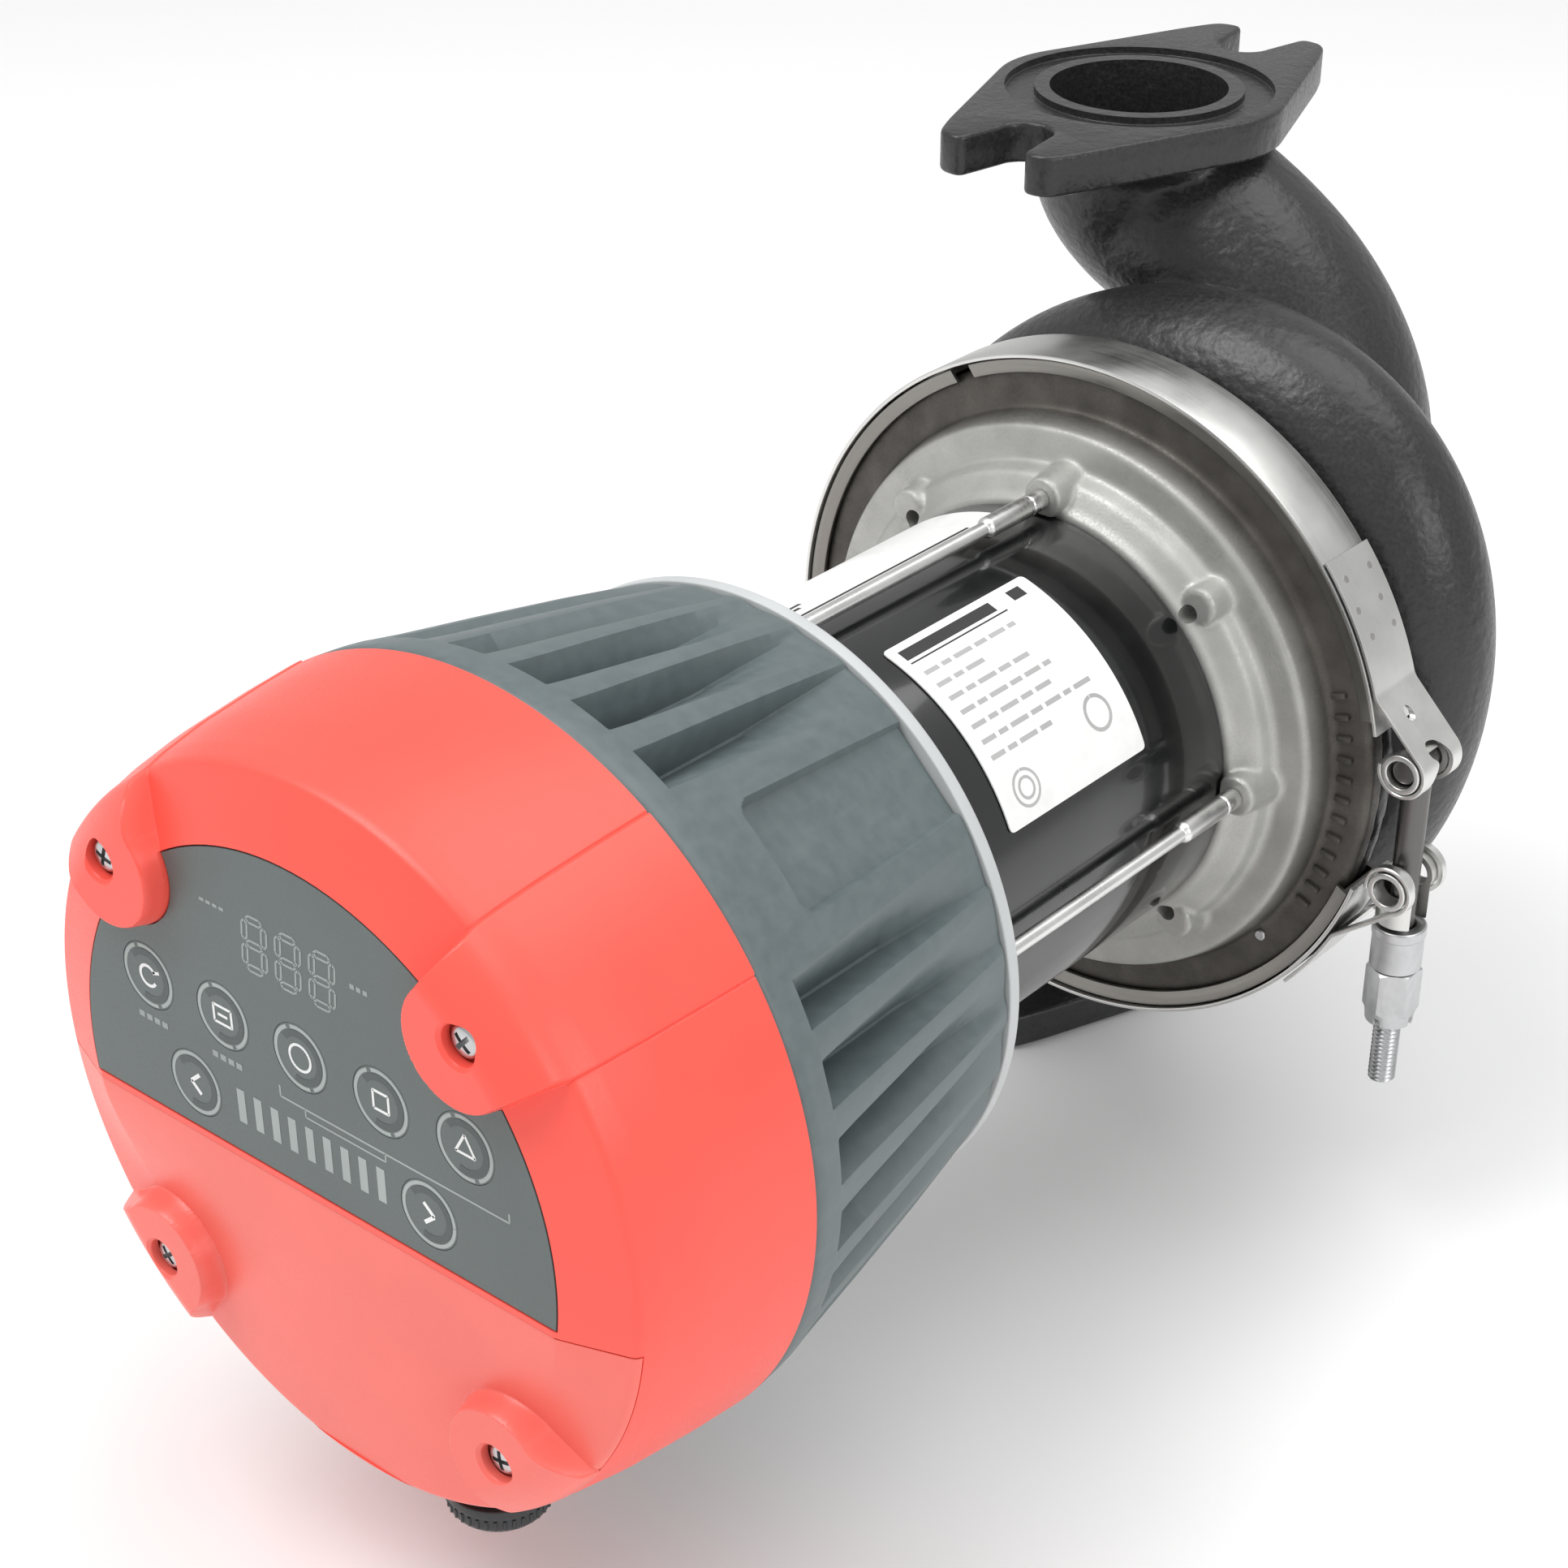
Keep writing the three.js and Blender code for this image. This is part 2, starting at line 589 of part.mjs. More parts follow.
function powerBoard() {
  const board = disc(54, -150, -148.4);
  const transformer = block(30, 22, 26, -18, -160, 14);
  const capacitors = [[22, 22], [30, 0], [22, -22]].map(([x, z]) => bar(8, [x, -170, z], [x, -149, z]));
  const module = block(34, 8, 24, -14, -153, -24);
  return join(board, transformer, module, ...capacitors);
}

function terminalBlock() {
  const body = block(40, 14, 12, 0, -207, -42);
  const wells = [-15, -5, 5, 15].map((x) => block(6, 6, 14, x, -212, -42));
  return cut(body, ...wells);
}

function glandBody() {
  const at = (z) => [GLAND.x, GLAND.y, z];
  const collar = bar(10.2, at(-76.3), at(-74.2), 16);
  return cut(join(bar(8.4, at(-62), at(-75)), collar), bar(6.2, at(-60), at(-78)));
}

function glandNut() {
  const at = (z) => [GLAND.x, GLAND.y, z];
  const outside = bar(GLAND.radius, at(GLAND.bottom), at(-76.6), 16);
  return cut(outside, bar(4.6, at(-85), at(-79)), bar(6.2, at(-79.2), at(-70)));
}

function glandSeal() {
  const at = (z) => [GLAND.x, GLAND.y, z];
  return cut(bar(5.6, at(-78.9), at(-71)), bar(3.5, at(-85), at(-60)));
}

// ---- Materials ----

function finish(color, roughness, metalness) {
  return new THREE.MeshStandardMaterial({ color, roughness, metalness });
}

const CAST_IRON = finish(0x464646, 0.6, 0.2);
const ALUMINIUM = finish(0xa5a7a3, 0.5, 0.7);
const STAINLESS = finish(0xd8d8d4, 0.3, 0.9);
const ZINC = finish(0xc8ccd0, 0.35, 0.9);
const BLACK_PAINT = finish(0x18191a, 0.25, 0.1);
const RUBBER = finish(0x151515, 0.9, 0);
const RED_PLASTIC = finish(0xff5f55, 0.45, 0);
const GREY_PLASTIC = finish(0x737d7f, 0.55, 0);
const PALE_PLASTIC = finish(0xcdd2d4, 0.5, 0);
const OVERLAY = finish(0x6a7672, 0.5, 0);
const COPPER = finish(0xb36a3c, 0.4, 0.8);
const LAMINATION = finish(0x8c8f92, 0.5, 0.8);
const CERAMIC = finish(0xe6e2d8, 0.4, 0);
const CARBON = finish(0x2c2c2e, 0.5, 0.1);
const BOARD = finish(0x1f5a38, 0.6, 0);
const PAPER = finish(0xf4f4f2, 0.7, 0);
const BLACK_PLASTIC = finish(0x30383a, 0.6, 0);

// ---- Assembly ----

const group = new THREE.Group();

function add(name, geometry, material) {
  const mesh = new THREE.Mesh(toGeometry(toSolid(geometry)), material);
  mesh.name = name;
  group.add(mesh);
}

function addVolute() {
  add('volute_casing', voluteCasing(), CAST_IRON);
  add('casing_oring', sealRing(60.35, 1.3, -2.6, FINE), RUBBER);
  add('wear_ring', ring(24.6, 21, 25.9, 30.5), STAINLESS);
}

function addClamp() {
  add('clamp_strap', clampStrap(), STAINLESS);
  [[14, 115], [119, 230], [234, 342]].forEach(([from, to], i) => {
    add(`clamp_retainer_${i + 1}`, clampRetainer(from, to), STAINLESS);
  });
  const upperSlot = block(20, 7.4, 14, LATCH.x + 4.5, CLAMP_MIDDLE, LATCH.upperZ - 1);
  const lowerSlot = block(24, 10.9, 30, LATCH.x + 3, CLAMP_MIDDLE, LATCH.lowerZ - 6);
  add('strap_loop_upper', strapLoop(LATCH.upperZ, 40, 18, 40, -190, upperSlot), STAINLESS);
  add('strap_loop_lower', strapLoop(LATCH.lowerZ, -40, -26, -70, 190, lowerSlot), STAINLESS);
  add('trunnion_upper', upperTrunnion(), STAINLESS);
  add('trunnion_lower', lowerTrunnion(), STAINLESS);
  add('t_bolt', tBolt(), ZINC);
  add('latch_sleeve', onBolt(5.6, -28.3, -38.3, SMALL), ZINC);
  add('latch_nut', onBolt(5.77, -38.6, -52, 6), ZINC);
}

function addMotor() {
  add('pump_cover', pumpCover(), ALUMINIUM);
  ROD_ANGLES.forEach((angle, i) => add(`tie_rod_${i + 1}`, tieRod(angle), ZINC));
  add('stator_housing', statorHousing(), BLACK_PAINT);
  add('stator_core', ring(44.4, 24.6, -93, -46), LAMINATION);
  add('winding_front', winding(-109, -93.3), COPPER);
  add('winding_rear', winding(-31, -45.7), COPPER);
  add('rotor_can', rotorCan(), STAINLESS);
  add('can_oring', sealRing(32.1, 1, -21.9, MEDIUM), RUBBER);
  add('rotor_core', ring(ROTOR.radius, ROTOR.shaft + GAP, ROTOR.front, ROTOR.back), LAMINATION);
  add('shaft', shaft(), CERAMIC);
  add('bearing_front', ring(ROTOR.bearingOuter, ROTOR.bearingBore, -106.9, -96.5, 24), CARBON);
  add('bearing_rear', ring(ROTOR.bearingOuter, ROTOR.bearingBore, -30, -19.7, 24), CARBON);
  add('bearing_plate', bearingPlate(), STAINLESS);
  add('thrust_ring', ring(9, ROTOR.shaft + GAP, -34, -31, 24), CARBON);
  add('impeller', impeller(), STAINLESS);
  add('impeller_shroud', impellerShroud(), STAINLESS);
  add('nameplate', wrappedLabel(23, 75, -94, -51), PAPER);
  add('rating_label', wrappedLabel(96, 168, -100, -33), PAPER);
}

function addDrive() {
  add('drive_housing', driveHousing(), GREY_PLASTIC);
  add('housing_ring', housingRing(), PALE_PLASTIC);
  add('control_cover', controlCover(), RED_PLASTIC);
  add('terminal_cover', terminalCover(), RED_PLASTIC);
  add('keypad_overlay', keypadOverlay(), OVERLAY);
  Object.entries(KEYS).forEach(([name, place]) => {
    add(name, keyPlug(place, KEY.radius, KEY.face, KEY.face + KEY.depth), OVERLAY);
  });
  const screws = [
    [EAR.x, EAR.upperZ, EAR.upperFace], [-EAR.x, EAR.upperZ, EAR.upperFace],
    [EAR.x, EAR.lowerZ, EAR.lowerFace], [-EAR.x, EAR.lowerZ, EAR.lowerFace],
  ];
  screws.forEach(([x, z, face], i) => add(`cover_screw_${i + 1}`, coverScrew(x, z, face), ZINC));
  add('display_board', displayBoard(), BOARD);
  add('power_board', powerBoard(), BOARD);
  add('terminal_block', terminalBlock(), BLACK_PLASTIC);
  add('gland_body', glandBody(), BLACK_PLASTIC);
  add('gland_nut', glandNut(), BLACK_PLASTIC);
  add('gland_seal', glandSeal(), RUBBER);
}

addVolute();
addClamp();
addMotor();
addDrive();

const centre = new THREE.Box3().setFromObject(group).getCenter(new THREE.Vector3());
group.position.copy(centre).negate();
group.updateMatrixWorld(true);

export default group;
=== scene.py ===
"""Circulator pump: the visual model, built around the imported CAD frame.

Every piece is drawn in pump coordinates, in millimetres: x = z = 0 is the rotor axis, y grows from
the keypad face towards the volute, and y = 0 lies just inside the back edge of the clamp band.
"""

import json
import math

import bmesh
import bpy
import numpy as np
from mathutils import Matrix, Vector


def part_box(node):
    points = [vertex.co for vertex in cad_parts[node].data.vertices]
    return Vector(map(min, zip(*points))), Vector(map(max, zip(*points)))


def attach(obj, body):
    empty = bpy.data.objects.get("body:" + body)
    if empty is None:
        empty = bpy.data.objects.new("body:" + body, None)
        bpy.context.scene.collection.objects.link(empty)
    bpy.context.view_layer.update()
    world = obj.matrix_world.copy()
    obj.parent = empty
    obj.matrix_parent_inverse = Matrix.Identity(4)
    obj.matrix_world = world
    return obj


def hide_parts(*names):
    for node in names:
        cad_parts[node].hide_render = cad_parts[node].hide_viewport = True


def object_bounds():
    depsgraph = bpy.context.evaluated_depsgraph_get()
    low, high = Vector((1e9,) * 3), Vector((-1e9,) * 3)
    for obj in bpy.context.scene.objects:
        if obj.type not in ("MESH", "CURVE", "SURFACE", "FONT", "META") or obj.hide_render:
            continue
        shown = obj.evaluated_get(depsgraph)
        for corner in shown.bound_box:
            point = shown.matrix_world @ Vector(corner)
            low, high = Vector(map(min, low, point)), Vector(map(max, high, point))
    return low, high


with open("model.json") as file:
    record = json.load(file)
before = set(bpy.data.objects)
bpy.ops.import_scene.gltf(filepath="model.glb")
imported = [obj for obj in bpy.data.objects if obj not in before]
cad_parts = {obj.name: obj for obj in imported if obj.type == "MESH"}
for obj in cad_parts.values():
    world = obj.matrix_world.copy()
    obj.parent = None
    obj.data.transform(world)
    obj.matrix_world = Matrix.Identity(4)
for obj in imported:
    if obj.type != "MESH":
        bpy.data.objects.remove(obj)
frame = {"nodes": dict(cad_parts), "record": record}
cad_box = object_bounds()

MM = 0.001
shaft_low, shaft_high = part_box("shaft")
band_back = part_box("clamp_strap")[1].y
DATUM = Vector(((shaft_low.x + shaft_high.x) / 2, band_back - 1 * MM, (shaft_low.z + shaft_high.z) / 2))

# ---- Dimensions, in millimetres; they follow the CAD frame ----

PORT_X, PORT_Y, PORT_Z, PORT_BORE, PORT_OUTER = -36.0, 52.0, 108.0, 19.05, 25.25
CLAMP_FRONT, CLAMP_BACK = -13.7, 1.0
CLAMP_MIDDLE = (CLAMP_FRONT + CLAMP_BACK) / 2
LATCH_X, LATCH_UPPER, LATCH_LOWER = 78.5, 9.1, -17.9
ROD_CIRCLE, ROD_RADIUS, ROD_FRONT, ROD_BACK = 50.1, 1.5, -126.0, -19.4
MOTOR_RADIUS, MOTOR_FRONT, MOTOR_BACK = 46.5, -121.0, -26.8
SEAM_Y, NECK_Y = -187.0, -119.6
CREASE_Y, CREASE_RADIUS = -224.0, 69.5
PANEL_Y, PANEL_RADIUS, PANEL_FOOT, LID_TOP = -228.8, 56.5, -6.7, -8.1
EAR_X, EAR_UPPER_Z, EAR_LOWER_Z = 42.1, 43.4, -41.0
EAR_HALF_WIDTH, EAR_NOSE = 12.0, 59.0
EAR_UPPER_FACE, EAR_LOWER_FACE = -233.0, -231.0
EAR_STEP, MOULD_LINE = 0.25, 0.3
KEY_ROW_Z, ARROW_Z, KEY_RADIUS = 20.4, 2.7, 6.5
KEY_PLACES = {
    "key_auto": (-38.0, KEY_ROW_Z),
    "key_input": (-19.0, KEY_ROW_Z),
    "key_mode_a": (0.0, KEY_ROW_Z),
    "key_mode_b": (19.0, KEY_ROW_Z),
    "key_mode_c": (38.0, KEY_ROW_Z),
    "key_down": (-28.4, ARROW_Z),
    "key_up": (28.4, ARROW_Z),
}
GLAND_X, GLAND_Y = 17.0, -207.0
QUARTERS = [0, 90, 180, 270]
DIAGONALS = [45, 135, 225, 315]
DOWN = (0, 0, -1)


# ---- Small maths ----

def smoothstep(low, high, value):
    t = np.clip((np.asarray(value, float) - low) / (high - low), 0.0, 1.0)
    return t * t * (3.0 - 2.0 * t)


def spot(radius, angle):
    """The point at a radius and an angle in degrees."""
    turn = math.radians(angle)
    return radius * math.cos(turn), radius * math.sin(turn)


def arc(radius, start, end, steps, centre=(0.0, 0.0)):
    """Points on an arc, with angles in degrees."""
    around = [spot(radius, angle) for angle in np.linspace(start, end, steps + 1)]
    return [(centre[0] + u, centre[1] + v) for u, v in around]


def rectangle(u0, v0, u1, v1):
    return [(u0, v0), (u1, v0), (u1, v1), (u0, v1)]


def softened(points, closed=True, steps=4):
    """Rounds an outline of (u, v, round) points: a corner with a round becomes a short curve."""
    result = []
    count = len(points)
    for i, (u, v, reach) in enumerate(points):
        here = np.array((u, v), float)
        open_end = not closed and i in (0, count - 1)
        if reach <= 0 or open_end:
            result.append((u, v))
            continue
        before = np.array(points[i - 1][:2], float) - here
        after = np.array(points[(i + 1) % count][:2], float) - here
        cut = min(reach, 0.48 * np.linalg.norm(before), 0.48 * np.linalg.norm(after))
        start = here + before / np.linalg.norm(before) * cut
        end = here + after / np.linalg.norm(after) * cut
        for t in np.linspace(0.0, 1.0, steps + 1):
            result.append(tuple((1 - t) ** 2 * start + 2 * t * (1 - t) * here + t * t * end))
    return result


# ---- Mesh making ----

def mesh_object(name, vertices, faces, crease_angle=32.0):
    """An object from vertices in pump millimetres. Its place is in its mesh."""
    points = np.asarray(vertices, float) * MM + np.array(DATUM)
    mesh = bpy.data.meshes.new(name)
    mesh.from_pydata(points.tolist(), [], [list(map(int, face)) for face in faces])
    work = bmesh.new()
    work.from_mesh(mesh)
    bmesh.ops.remove_doubles(work, verts=work.verts, dist=1e-7)
    bmesh.ops.recalc_face_normals(work, faces=work.faces)
    work.to_mesh(mesh)
    work.free()
    shade(mesh, crease_angle)
    made = bpy.data.objects.new(name, mesh)
    bpy.context.scene.collection.objects.link(made)
    return made


def shade(mesh, crease_angle=32.0):
    mesh.shade_smooth()
    mesh.set_sharp_from_angle(angle=math.radians(crease_angle))


def grid_faces(rows, columns, close_rows=False, close_columns=False, offset=0):
    """Quads over a grid of vertices stored row by row."""
    faces = []
    for i in range(rows if close_rows else rows - 1):
        for j in range(columns if close_columns else columns - 1):
            a, b = i * columns + j, i * columns + (j + 1) % columns
            c, d = ((i + 1) % rows) * columns + (j + 1) % columns, ((i + 1) % rows) * columns + j
            faces.append((a + offset, b + offset, c + offset, d + offset))
    return faces


def capped_tube(name, vertices, rings, sides, crease_angle=32.0):
    """A tube from rings of vertices, with a flat face over each end."""
    faces = grid_faces(rings, sides, close_columns=True)
    faces += [list(range(sides)), list(range((rings - 1) * sides, rings * sides))]
    return mesh_object(name, vertices, faces, crease_angle)


def turned(name, profile, sides=144, start=0.0, sweep=360.0):
    """A (radius, y) outline turned about the rotor axis. Part of a turn gets flat ends."""
    full = sweep >= 360.0
    on_axis = profile[0][0] == 0 and profile[-1][0] == 0
    angles = np.radians(start + np.linspace(0.0, sweep, sides + 1))
    if full:
        angles = angles[:-1]
    vertices = [(r * math.cos(a), y, r * math.sin(a)) for a in angles for r, y in profile]
    faces = grid_faces(len(angles), len(profile), close_rows=full, close_columns=not on_axis)
    if not full:
        faces.append(list(range(len(profile))))
        faces.append(list(range((len(angles) - 1) * len(profile), len(angles) * len(profile))))
    return mesh_object(name, vertices, faces)


def prism(name, outline, front, back, axis="y", bevel=0.0, segments=3):
    """An outline given depth along an axis. The outline holds the other two coordinates in order."""
    def place(u, v, depth):
        return {"x": (depth, u, v), "y": (u, depth, v), "z": (u, v, depth)}[axis]

    count = len(outline)
    vertices = [place(u, v, front) for u, v in outline] + [place(u, v, back) for u, v in outline]
    faces = [list(range(count)), list(range(count, 2 * count))]
    faces += [(i, (i + 1) % count, count + (i + 1) % count, count + i) for i in range(count)]
    made = mesh_object(name, vertices, faces)
    if bevel:
        bevelled(made, bevel, segments)
    return made


def turned_along(name, corners, start, direction=(0, 1, 0), sides=64, steps=4):
    """(radius, distance, round) corners turned about any axis. Corners that start and end on the axis
    make a solid, others a tube."""
    on_axis = corners[0][0] == 0 and corners[-1][0] == 0
    profile = softened(corners, not on_axis, steps)
    axis = Vector(direction).normalized()
    side = axis.orthogonal().normalized()
    other = axis.cross(side)
    vertices = []
    for k in range(sides):
        turn = 2 * math.pi * k / sides
        spoke = side * math.cos(turn) + other * math.sin(turn)
        vertices += [tuple(Vector(start) + axis * along + spoke * r) for r, along in profile]
    faces = grid_faces(sides, len(profile), close_rows=True, close_columns=not on_axis)
    return mesh_object(name, vertices, faces)


def rod(name, radius, start, end, sides=48, bevel=0.0):
    """A straight bar between two points in pump millimetres."""
    direction = Vector(end) - Vector(start)
    length = direction.length
    corners = [(0, 0, 0), (radius, 0, bevel), (radius, length, bevel), (0, length, 0)]
    return turned_along(name, corners, start, direction, sides)


def smooth_path(points, steps):
    """A Catmull-Rom curve through the points."""
    given = [np.array(p, float) for p in points]
    ends = [2 * given[0] - given[1], *given, 2 * given[-1] - given[-2]]
    result = []
    for i in range(1, len(ends) - 2):
        p0, p1, p2, p3 = ends[i - 1 : i + 3]
        for t in np.linspace(0, 1, steps, endpoint=False):
            result.append(0.5 * (2 * p1 + (p2 - p0) * t + (2 * p0 - 5 * p1 + 4 * p2 - p3) * t * t
                                 + (3 * p1 - p0 - 3 * p2 + p3) * t ** 3))
    result.append(ends[-2])
    return result


def swept(name, points, radius, steps=6, sides=48):
    """A round bar along a smooth path. The radius may be one number or one for each given point."""
    path = smooth_path(points, steps)
    spread = np.linspace(0, 1, len(path))
    given = np.atleast_1d(radius)
    radii = np.interp(spread, np.linspace(0, 1, len(given)), given)
    tangents = np.gradient(np.array(path), axis=0)
    side = Vector(tangents[0]).orthogonal().normalized()
    vertices = []
    for place, tangent, r in zip(path, tangents, radii):
        along = Vector(tangent).normalized()
        side = (side - along * side.dot(along)).normalized()
        other = along.cross(side)
        for k in range(sides):
            turn = 2 * math.pi * k / sides
            vertices.append(tuple(Vector(place) + (side * math.cos(turn) + other * math.sin(turn)) * r))
    return capped_tube(name, vertices, len(path), sides)


def apply_modifiers(target, crease_angle=32.0):
    graph = bpy.context.evaluated_depsgraph_get()
    baked = bpy.data.meshes.new_from_object(target.evaluated_get(graph))
    old = target.data
    target.modifiers.clear()
    target.data = baked
    bpy.data.meshes.remove(old)
    shade(baked, crease_angle)
    return target


def bevelled(target, width, segments=3, angle=35.0):
    rounding = target.modifiers.new("bevel", "BEVEL")
    rounding.width = width * MM
    rounding.segments = segments
    rounding.limit_method = "ANGLE"
    rounding.angle_limit = math.radians(angle)
    rounding.use_clamp_overlap = True
    return apply_modifiers(target)


def boolean(target, operation, *tools):
    for tool in tools:
        step = target.modifiers.new("join", "BOOLEAN")
        step.operation = operation
        step.object = tool
        step.solver = "MANIFOLD"
        apply_modifiers(target)
        bpy.data.objects.remove(tool)
    return target


def merged(name, *parts):
    """One object that holds the meshes of several. The parts are used up."""
    work = bmesh.new()
    for part in parts:
        work.from_mesh(part.data)
        bpy.data.objects.remove(part)
    mesh = bpy.data.meshes.new(name)
    work.to_mesh(mesh)
    work.free()
    shade(mesh)
    made = bpy.data.objects.new(name, mesh)
    bpy.context.scene.collection.objects.link(made)
    return made


def fused(name, parts, voxel, smoothing):
    """Melts overlapping solids into one skin with rounded inner corners, as a casting has."""
    whole = merged(name, *parts)
    skin = whole.modifiers.new("skin", "REMESH")
    skin.mode = "VOXEL"
    skin.voxel_size = voxel * MM
    skin.use_smooth_shade = True
    relax = whole.modifiers.new("relax", "SMOOTH")
    relax.factor = 0.5
    relax.iterations = smoothing
    return apply_modifiers(whole, 60.0)


def rotated(target, degrees):
    """Turns a mesh about the rotor axis, from +X towards +Z."""
    turn = math.radians(degrees)
    for vertex in target.data.vertices:
        x, z = vertex.co.x - DATUM.x, vertex.co.z - DATUM.z
        vertex.co.x = DATUM.x + x * math.cos(turn) - z * math.sin(turn)
        vertex.co.z = DATUM.z + x * math.sin(turn) + z * math.cos(turn)
    return target


def finished(target, material, slot, *nodes, body="pump_body"):
    """Gives a piece its material and its body, and hides the CAD nodes that it stands for."""
    target.data.materials.clear()
    target.data.materials.append(material)
    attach(target, body)
    if nodes:
        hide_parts(*nodes)
    return target


# ---- Materials ----

class Shader:
    """A short way to write a node tree round one Principled shader."""

    def __init__(self, name, color, roughness, metallic=0.0, **inputs):
        self.material = bpy.data.materials.new(name)
        self.material.use_nodes = True
        self.tree = self.material.node_tree
        self.surface = self.tree.nodes["Principled BSDF"]
        self.set("Base Color", (*color, 1.0))
        self.set("Roughness", roughness)
        self.set("Metallic", metallic)
        for key, value in inputs.items():
            self.set(key.replace("_", " ").title().replace("Ior", "IOR"), value)
        self.coordinates = self.node("ShaderNodeTexCoord").outputs["Object"]

    def set(self, name, value):
        self.surface.inputs[name].default_value = value

    def node(self, kind, **settings):
        made = self.tree.nodes.new(kind)
        for key, value in settings.items():
            setattr(made, key, value)
        return made

    def link(self, source, target):
        self.tree.links.new(source, target)

    def noise(self, size_mm, detail=3.0, stretch=(1.0, 1.0, 1.0), source=None):
        """Noise whose blobs are about size_mm across."""
        scale = self.node("ShaderNodeVectorMath", operation="MULTIPLY")
        self.link(source or self.coordinates, scale.inputs[0])
        scale.inputs[1].default_value = tuple(1000.0 / size_mm * s for s in stretch)
        noise = self.node("ShaderNodeTexNoise")
        noise.inputs["Scale"].default_value = 1.0
        noise.inputs["Detail"].default_value = detail
        self.link(scale.outputs[0], noise.inputs["Vector"])
        return noise.outputs["Fac"]

    def ramp(self, value, low, high, from_low=0.35, from_high=0.65):
        """Spreads a value between two numbers."""
        spread = self.node("ShaderNodeMapRange")
        spread.inputs["From Min"].default_value = from_low
        spread.inputs["From Max"].default_value = from_high
        spread.inputs["To Min"].default_value = low
        spread.inputs["To Max"].default_value = high
        self.link(value, spread.inputs["Value"])
        return spread.outputs["Result"]

    def feed(self, socket, value):
        """Gives a socket a number, a colour or another node's output."""
        if isinstance(value, (int, float)):
            socket.default_value = value
        elif isinstance(value, tuple):
            socket.default_value = (*value, 1.0)
        else:
            self.link(value, socket)

    def math(self, operation, first, second=0.0):
        step = self.node("ShaderNodeMath", operation=operation)
        self.feed(step.inputs[0], first)
        self.feed(step.inputs[1], second)
        return step.outputs[0]

    def mix_colors(self, amount, first, second):
        mix = self.node("ShaderNodeMix", data_type="RGBA")
        self.feed(mix.inputs["Factor"], amount)
        self.feed(mix.inputs[6], first)
        self.feed(mix.inputs[7], second)
        return mix.outputs[2]

    def color(self, source):
        self.link(source, self.surface.inputs["Base Color"])

    def cloud(self, noise, first, second):
        """Colours the surface between two colours by a noise."""
        self.color(self.mix_colors(self.ramp(noise, 0.0, 1.0), first, second))

    def roughness(self, source):
        self.link(source, self.surface.inputs["Roughness"])

    def bump(self, height, depth_mm, strength=1.0):
        """Adds a bump on top of any earlier one."""
        bump = self.node("ShaderNodeBump")
        bump.inputs["Strength"].default_value = strength
        bump.inputs["Distance"].default_value = depth_mm * MM
        self.link(height, bump.inputs["Height"])
        earlier = self.surface.inputs["Normal"].links
        if earlier:
            self.link(earlier[0].from_socket, bump.inputs["Normal"])
        self.link(bump.outputs[0], self.surface.inputs["Normal"])

    def around_axis(self):
        """Coordinates for turned pieces: angle round the rotor axis, y and radius, all in metres."""
        split = self.node("ShaderNodeSeparateXYZ")
        self.link(self.coordinates, split.inputs[0])
        x = self.math("SUBTRACT", split.outputs["X"], DATUM.x)
        z = self.math("SUBTRACT", split.outputs["Z"], DATUM.z)
        angle = self.math("MULTIPLY", self.math("ARCTAN2", z, x), 0.06)
        x2 = self.math("MULTIPLY", x, x)
        radius = self.math("SQRT", self.math("ADD", x2, self.math("MULTIPLY", z, z)))
        joined = self.node("ShaderNodeCombineXYZ")
        self.link(angle, joined.inputs[0])
        self.link(split.outputs["Y"], joined.inputs[1])
        self.link(radius, joined.inputs[2])
        return joined.outputs[0], radius


def cast_paint():
    """Black paint over a sand casting: pebbled, with a low sheen that catches the high spots."""
    s = Shader("cast_paint", (0.030, 0.030, 0.031), 0.4, specular_ior_level=0.5)
    fine = s.noise(0.8, 3.0)
    pebbles = s.noise(2.6, 1.5)
    s.cloud(fine, (0.019, 0.019, 0.020), (0.027, 0.027, 0.028))
    s.roughness(s.ramp(fine, 0.28, 0.40))
    s.bump(pebbles, 0.5, 0.55)
    s.bump(fine, 0.1, 0.6)
    return s.material


def cast_aluminium():
    """Blasted aluminium casting; its outer channel is coloured darker, a painted shade."""
    s = Shader("cast_aluminium", (0.5, 0.5, 0.48), 0.5, 0.75)
    _, radius = s.around_axis()
    cloud = s.noise(9.0, 3.0)
    grain = s.noise(0.5, 3.0)
    bright = s.mix_colors(s.ramp(cloud, 0.0, 1.0), (0.43, 0.43, 0.41), (0.49, 0.49, 0.47))
    # Painted shade: the recessed outer channel gets these dark colours.
    channel_painted_shade = s.mix_colors(s.ramp(cloud, 0.0, 1.0), (0.085, 0.078, 0.070), (0.125, 0.116, 0.105))
    channel = s.ramp(radius, 0.0, 1.0, 0.0602, 0.0622)
    s.color(s.mix_colors(channel, bright, channel_painted_shade))
    s.roughness(s.ramp(grain, 0.46, 0.62))
    s.bump(grain, 0.05, 0.5)
    return s.material


def brushed_strip(name="brushed_strip", color=(0.74, 0.74, 0.72), roughness=0.32):
    """Rolled stainless strip with fine scratches that run round the band."""
    s = Shader(name, color, roughness, 1.0)
    wrapped, _ = s.around_axis()
    scratches = s.noise(1.0, 4.0, (0.03, 3.0, 1.0), wrapped)
    smudges = s.noise(14.0, 3.0)
    s.cloud(smudges, tuple(0.9 * c for c in color), color)
    smudged = s.ramp(smudges, roughness - 0.05, roughness + 0.06)
    s.roughness(s.math("ADD", smudged, s.ramp(scratches, -0.03, 0.06)))
    s.bump(scratches, 0.02, 0.5)
    return s.material


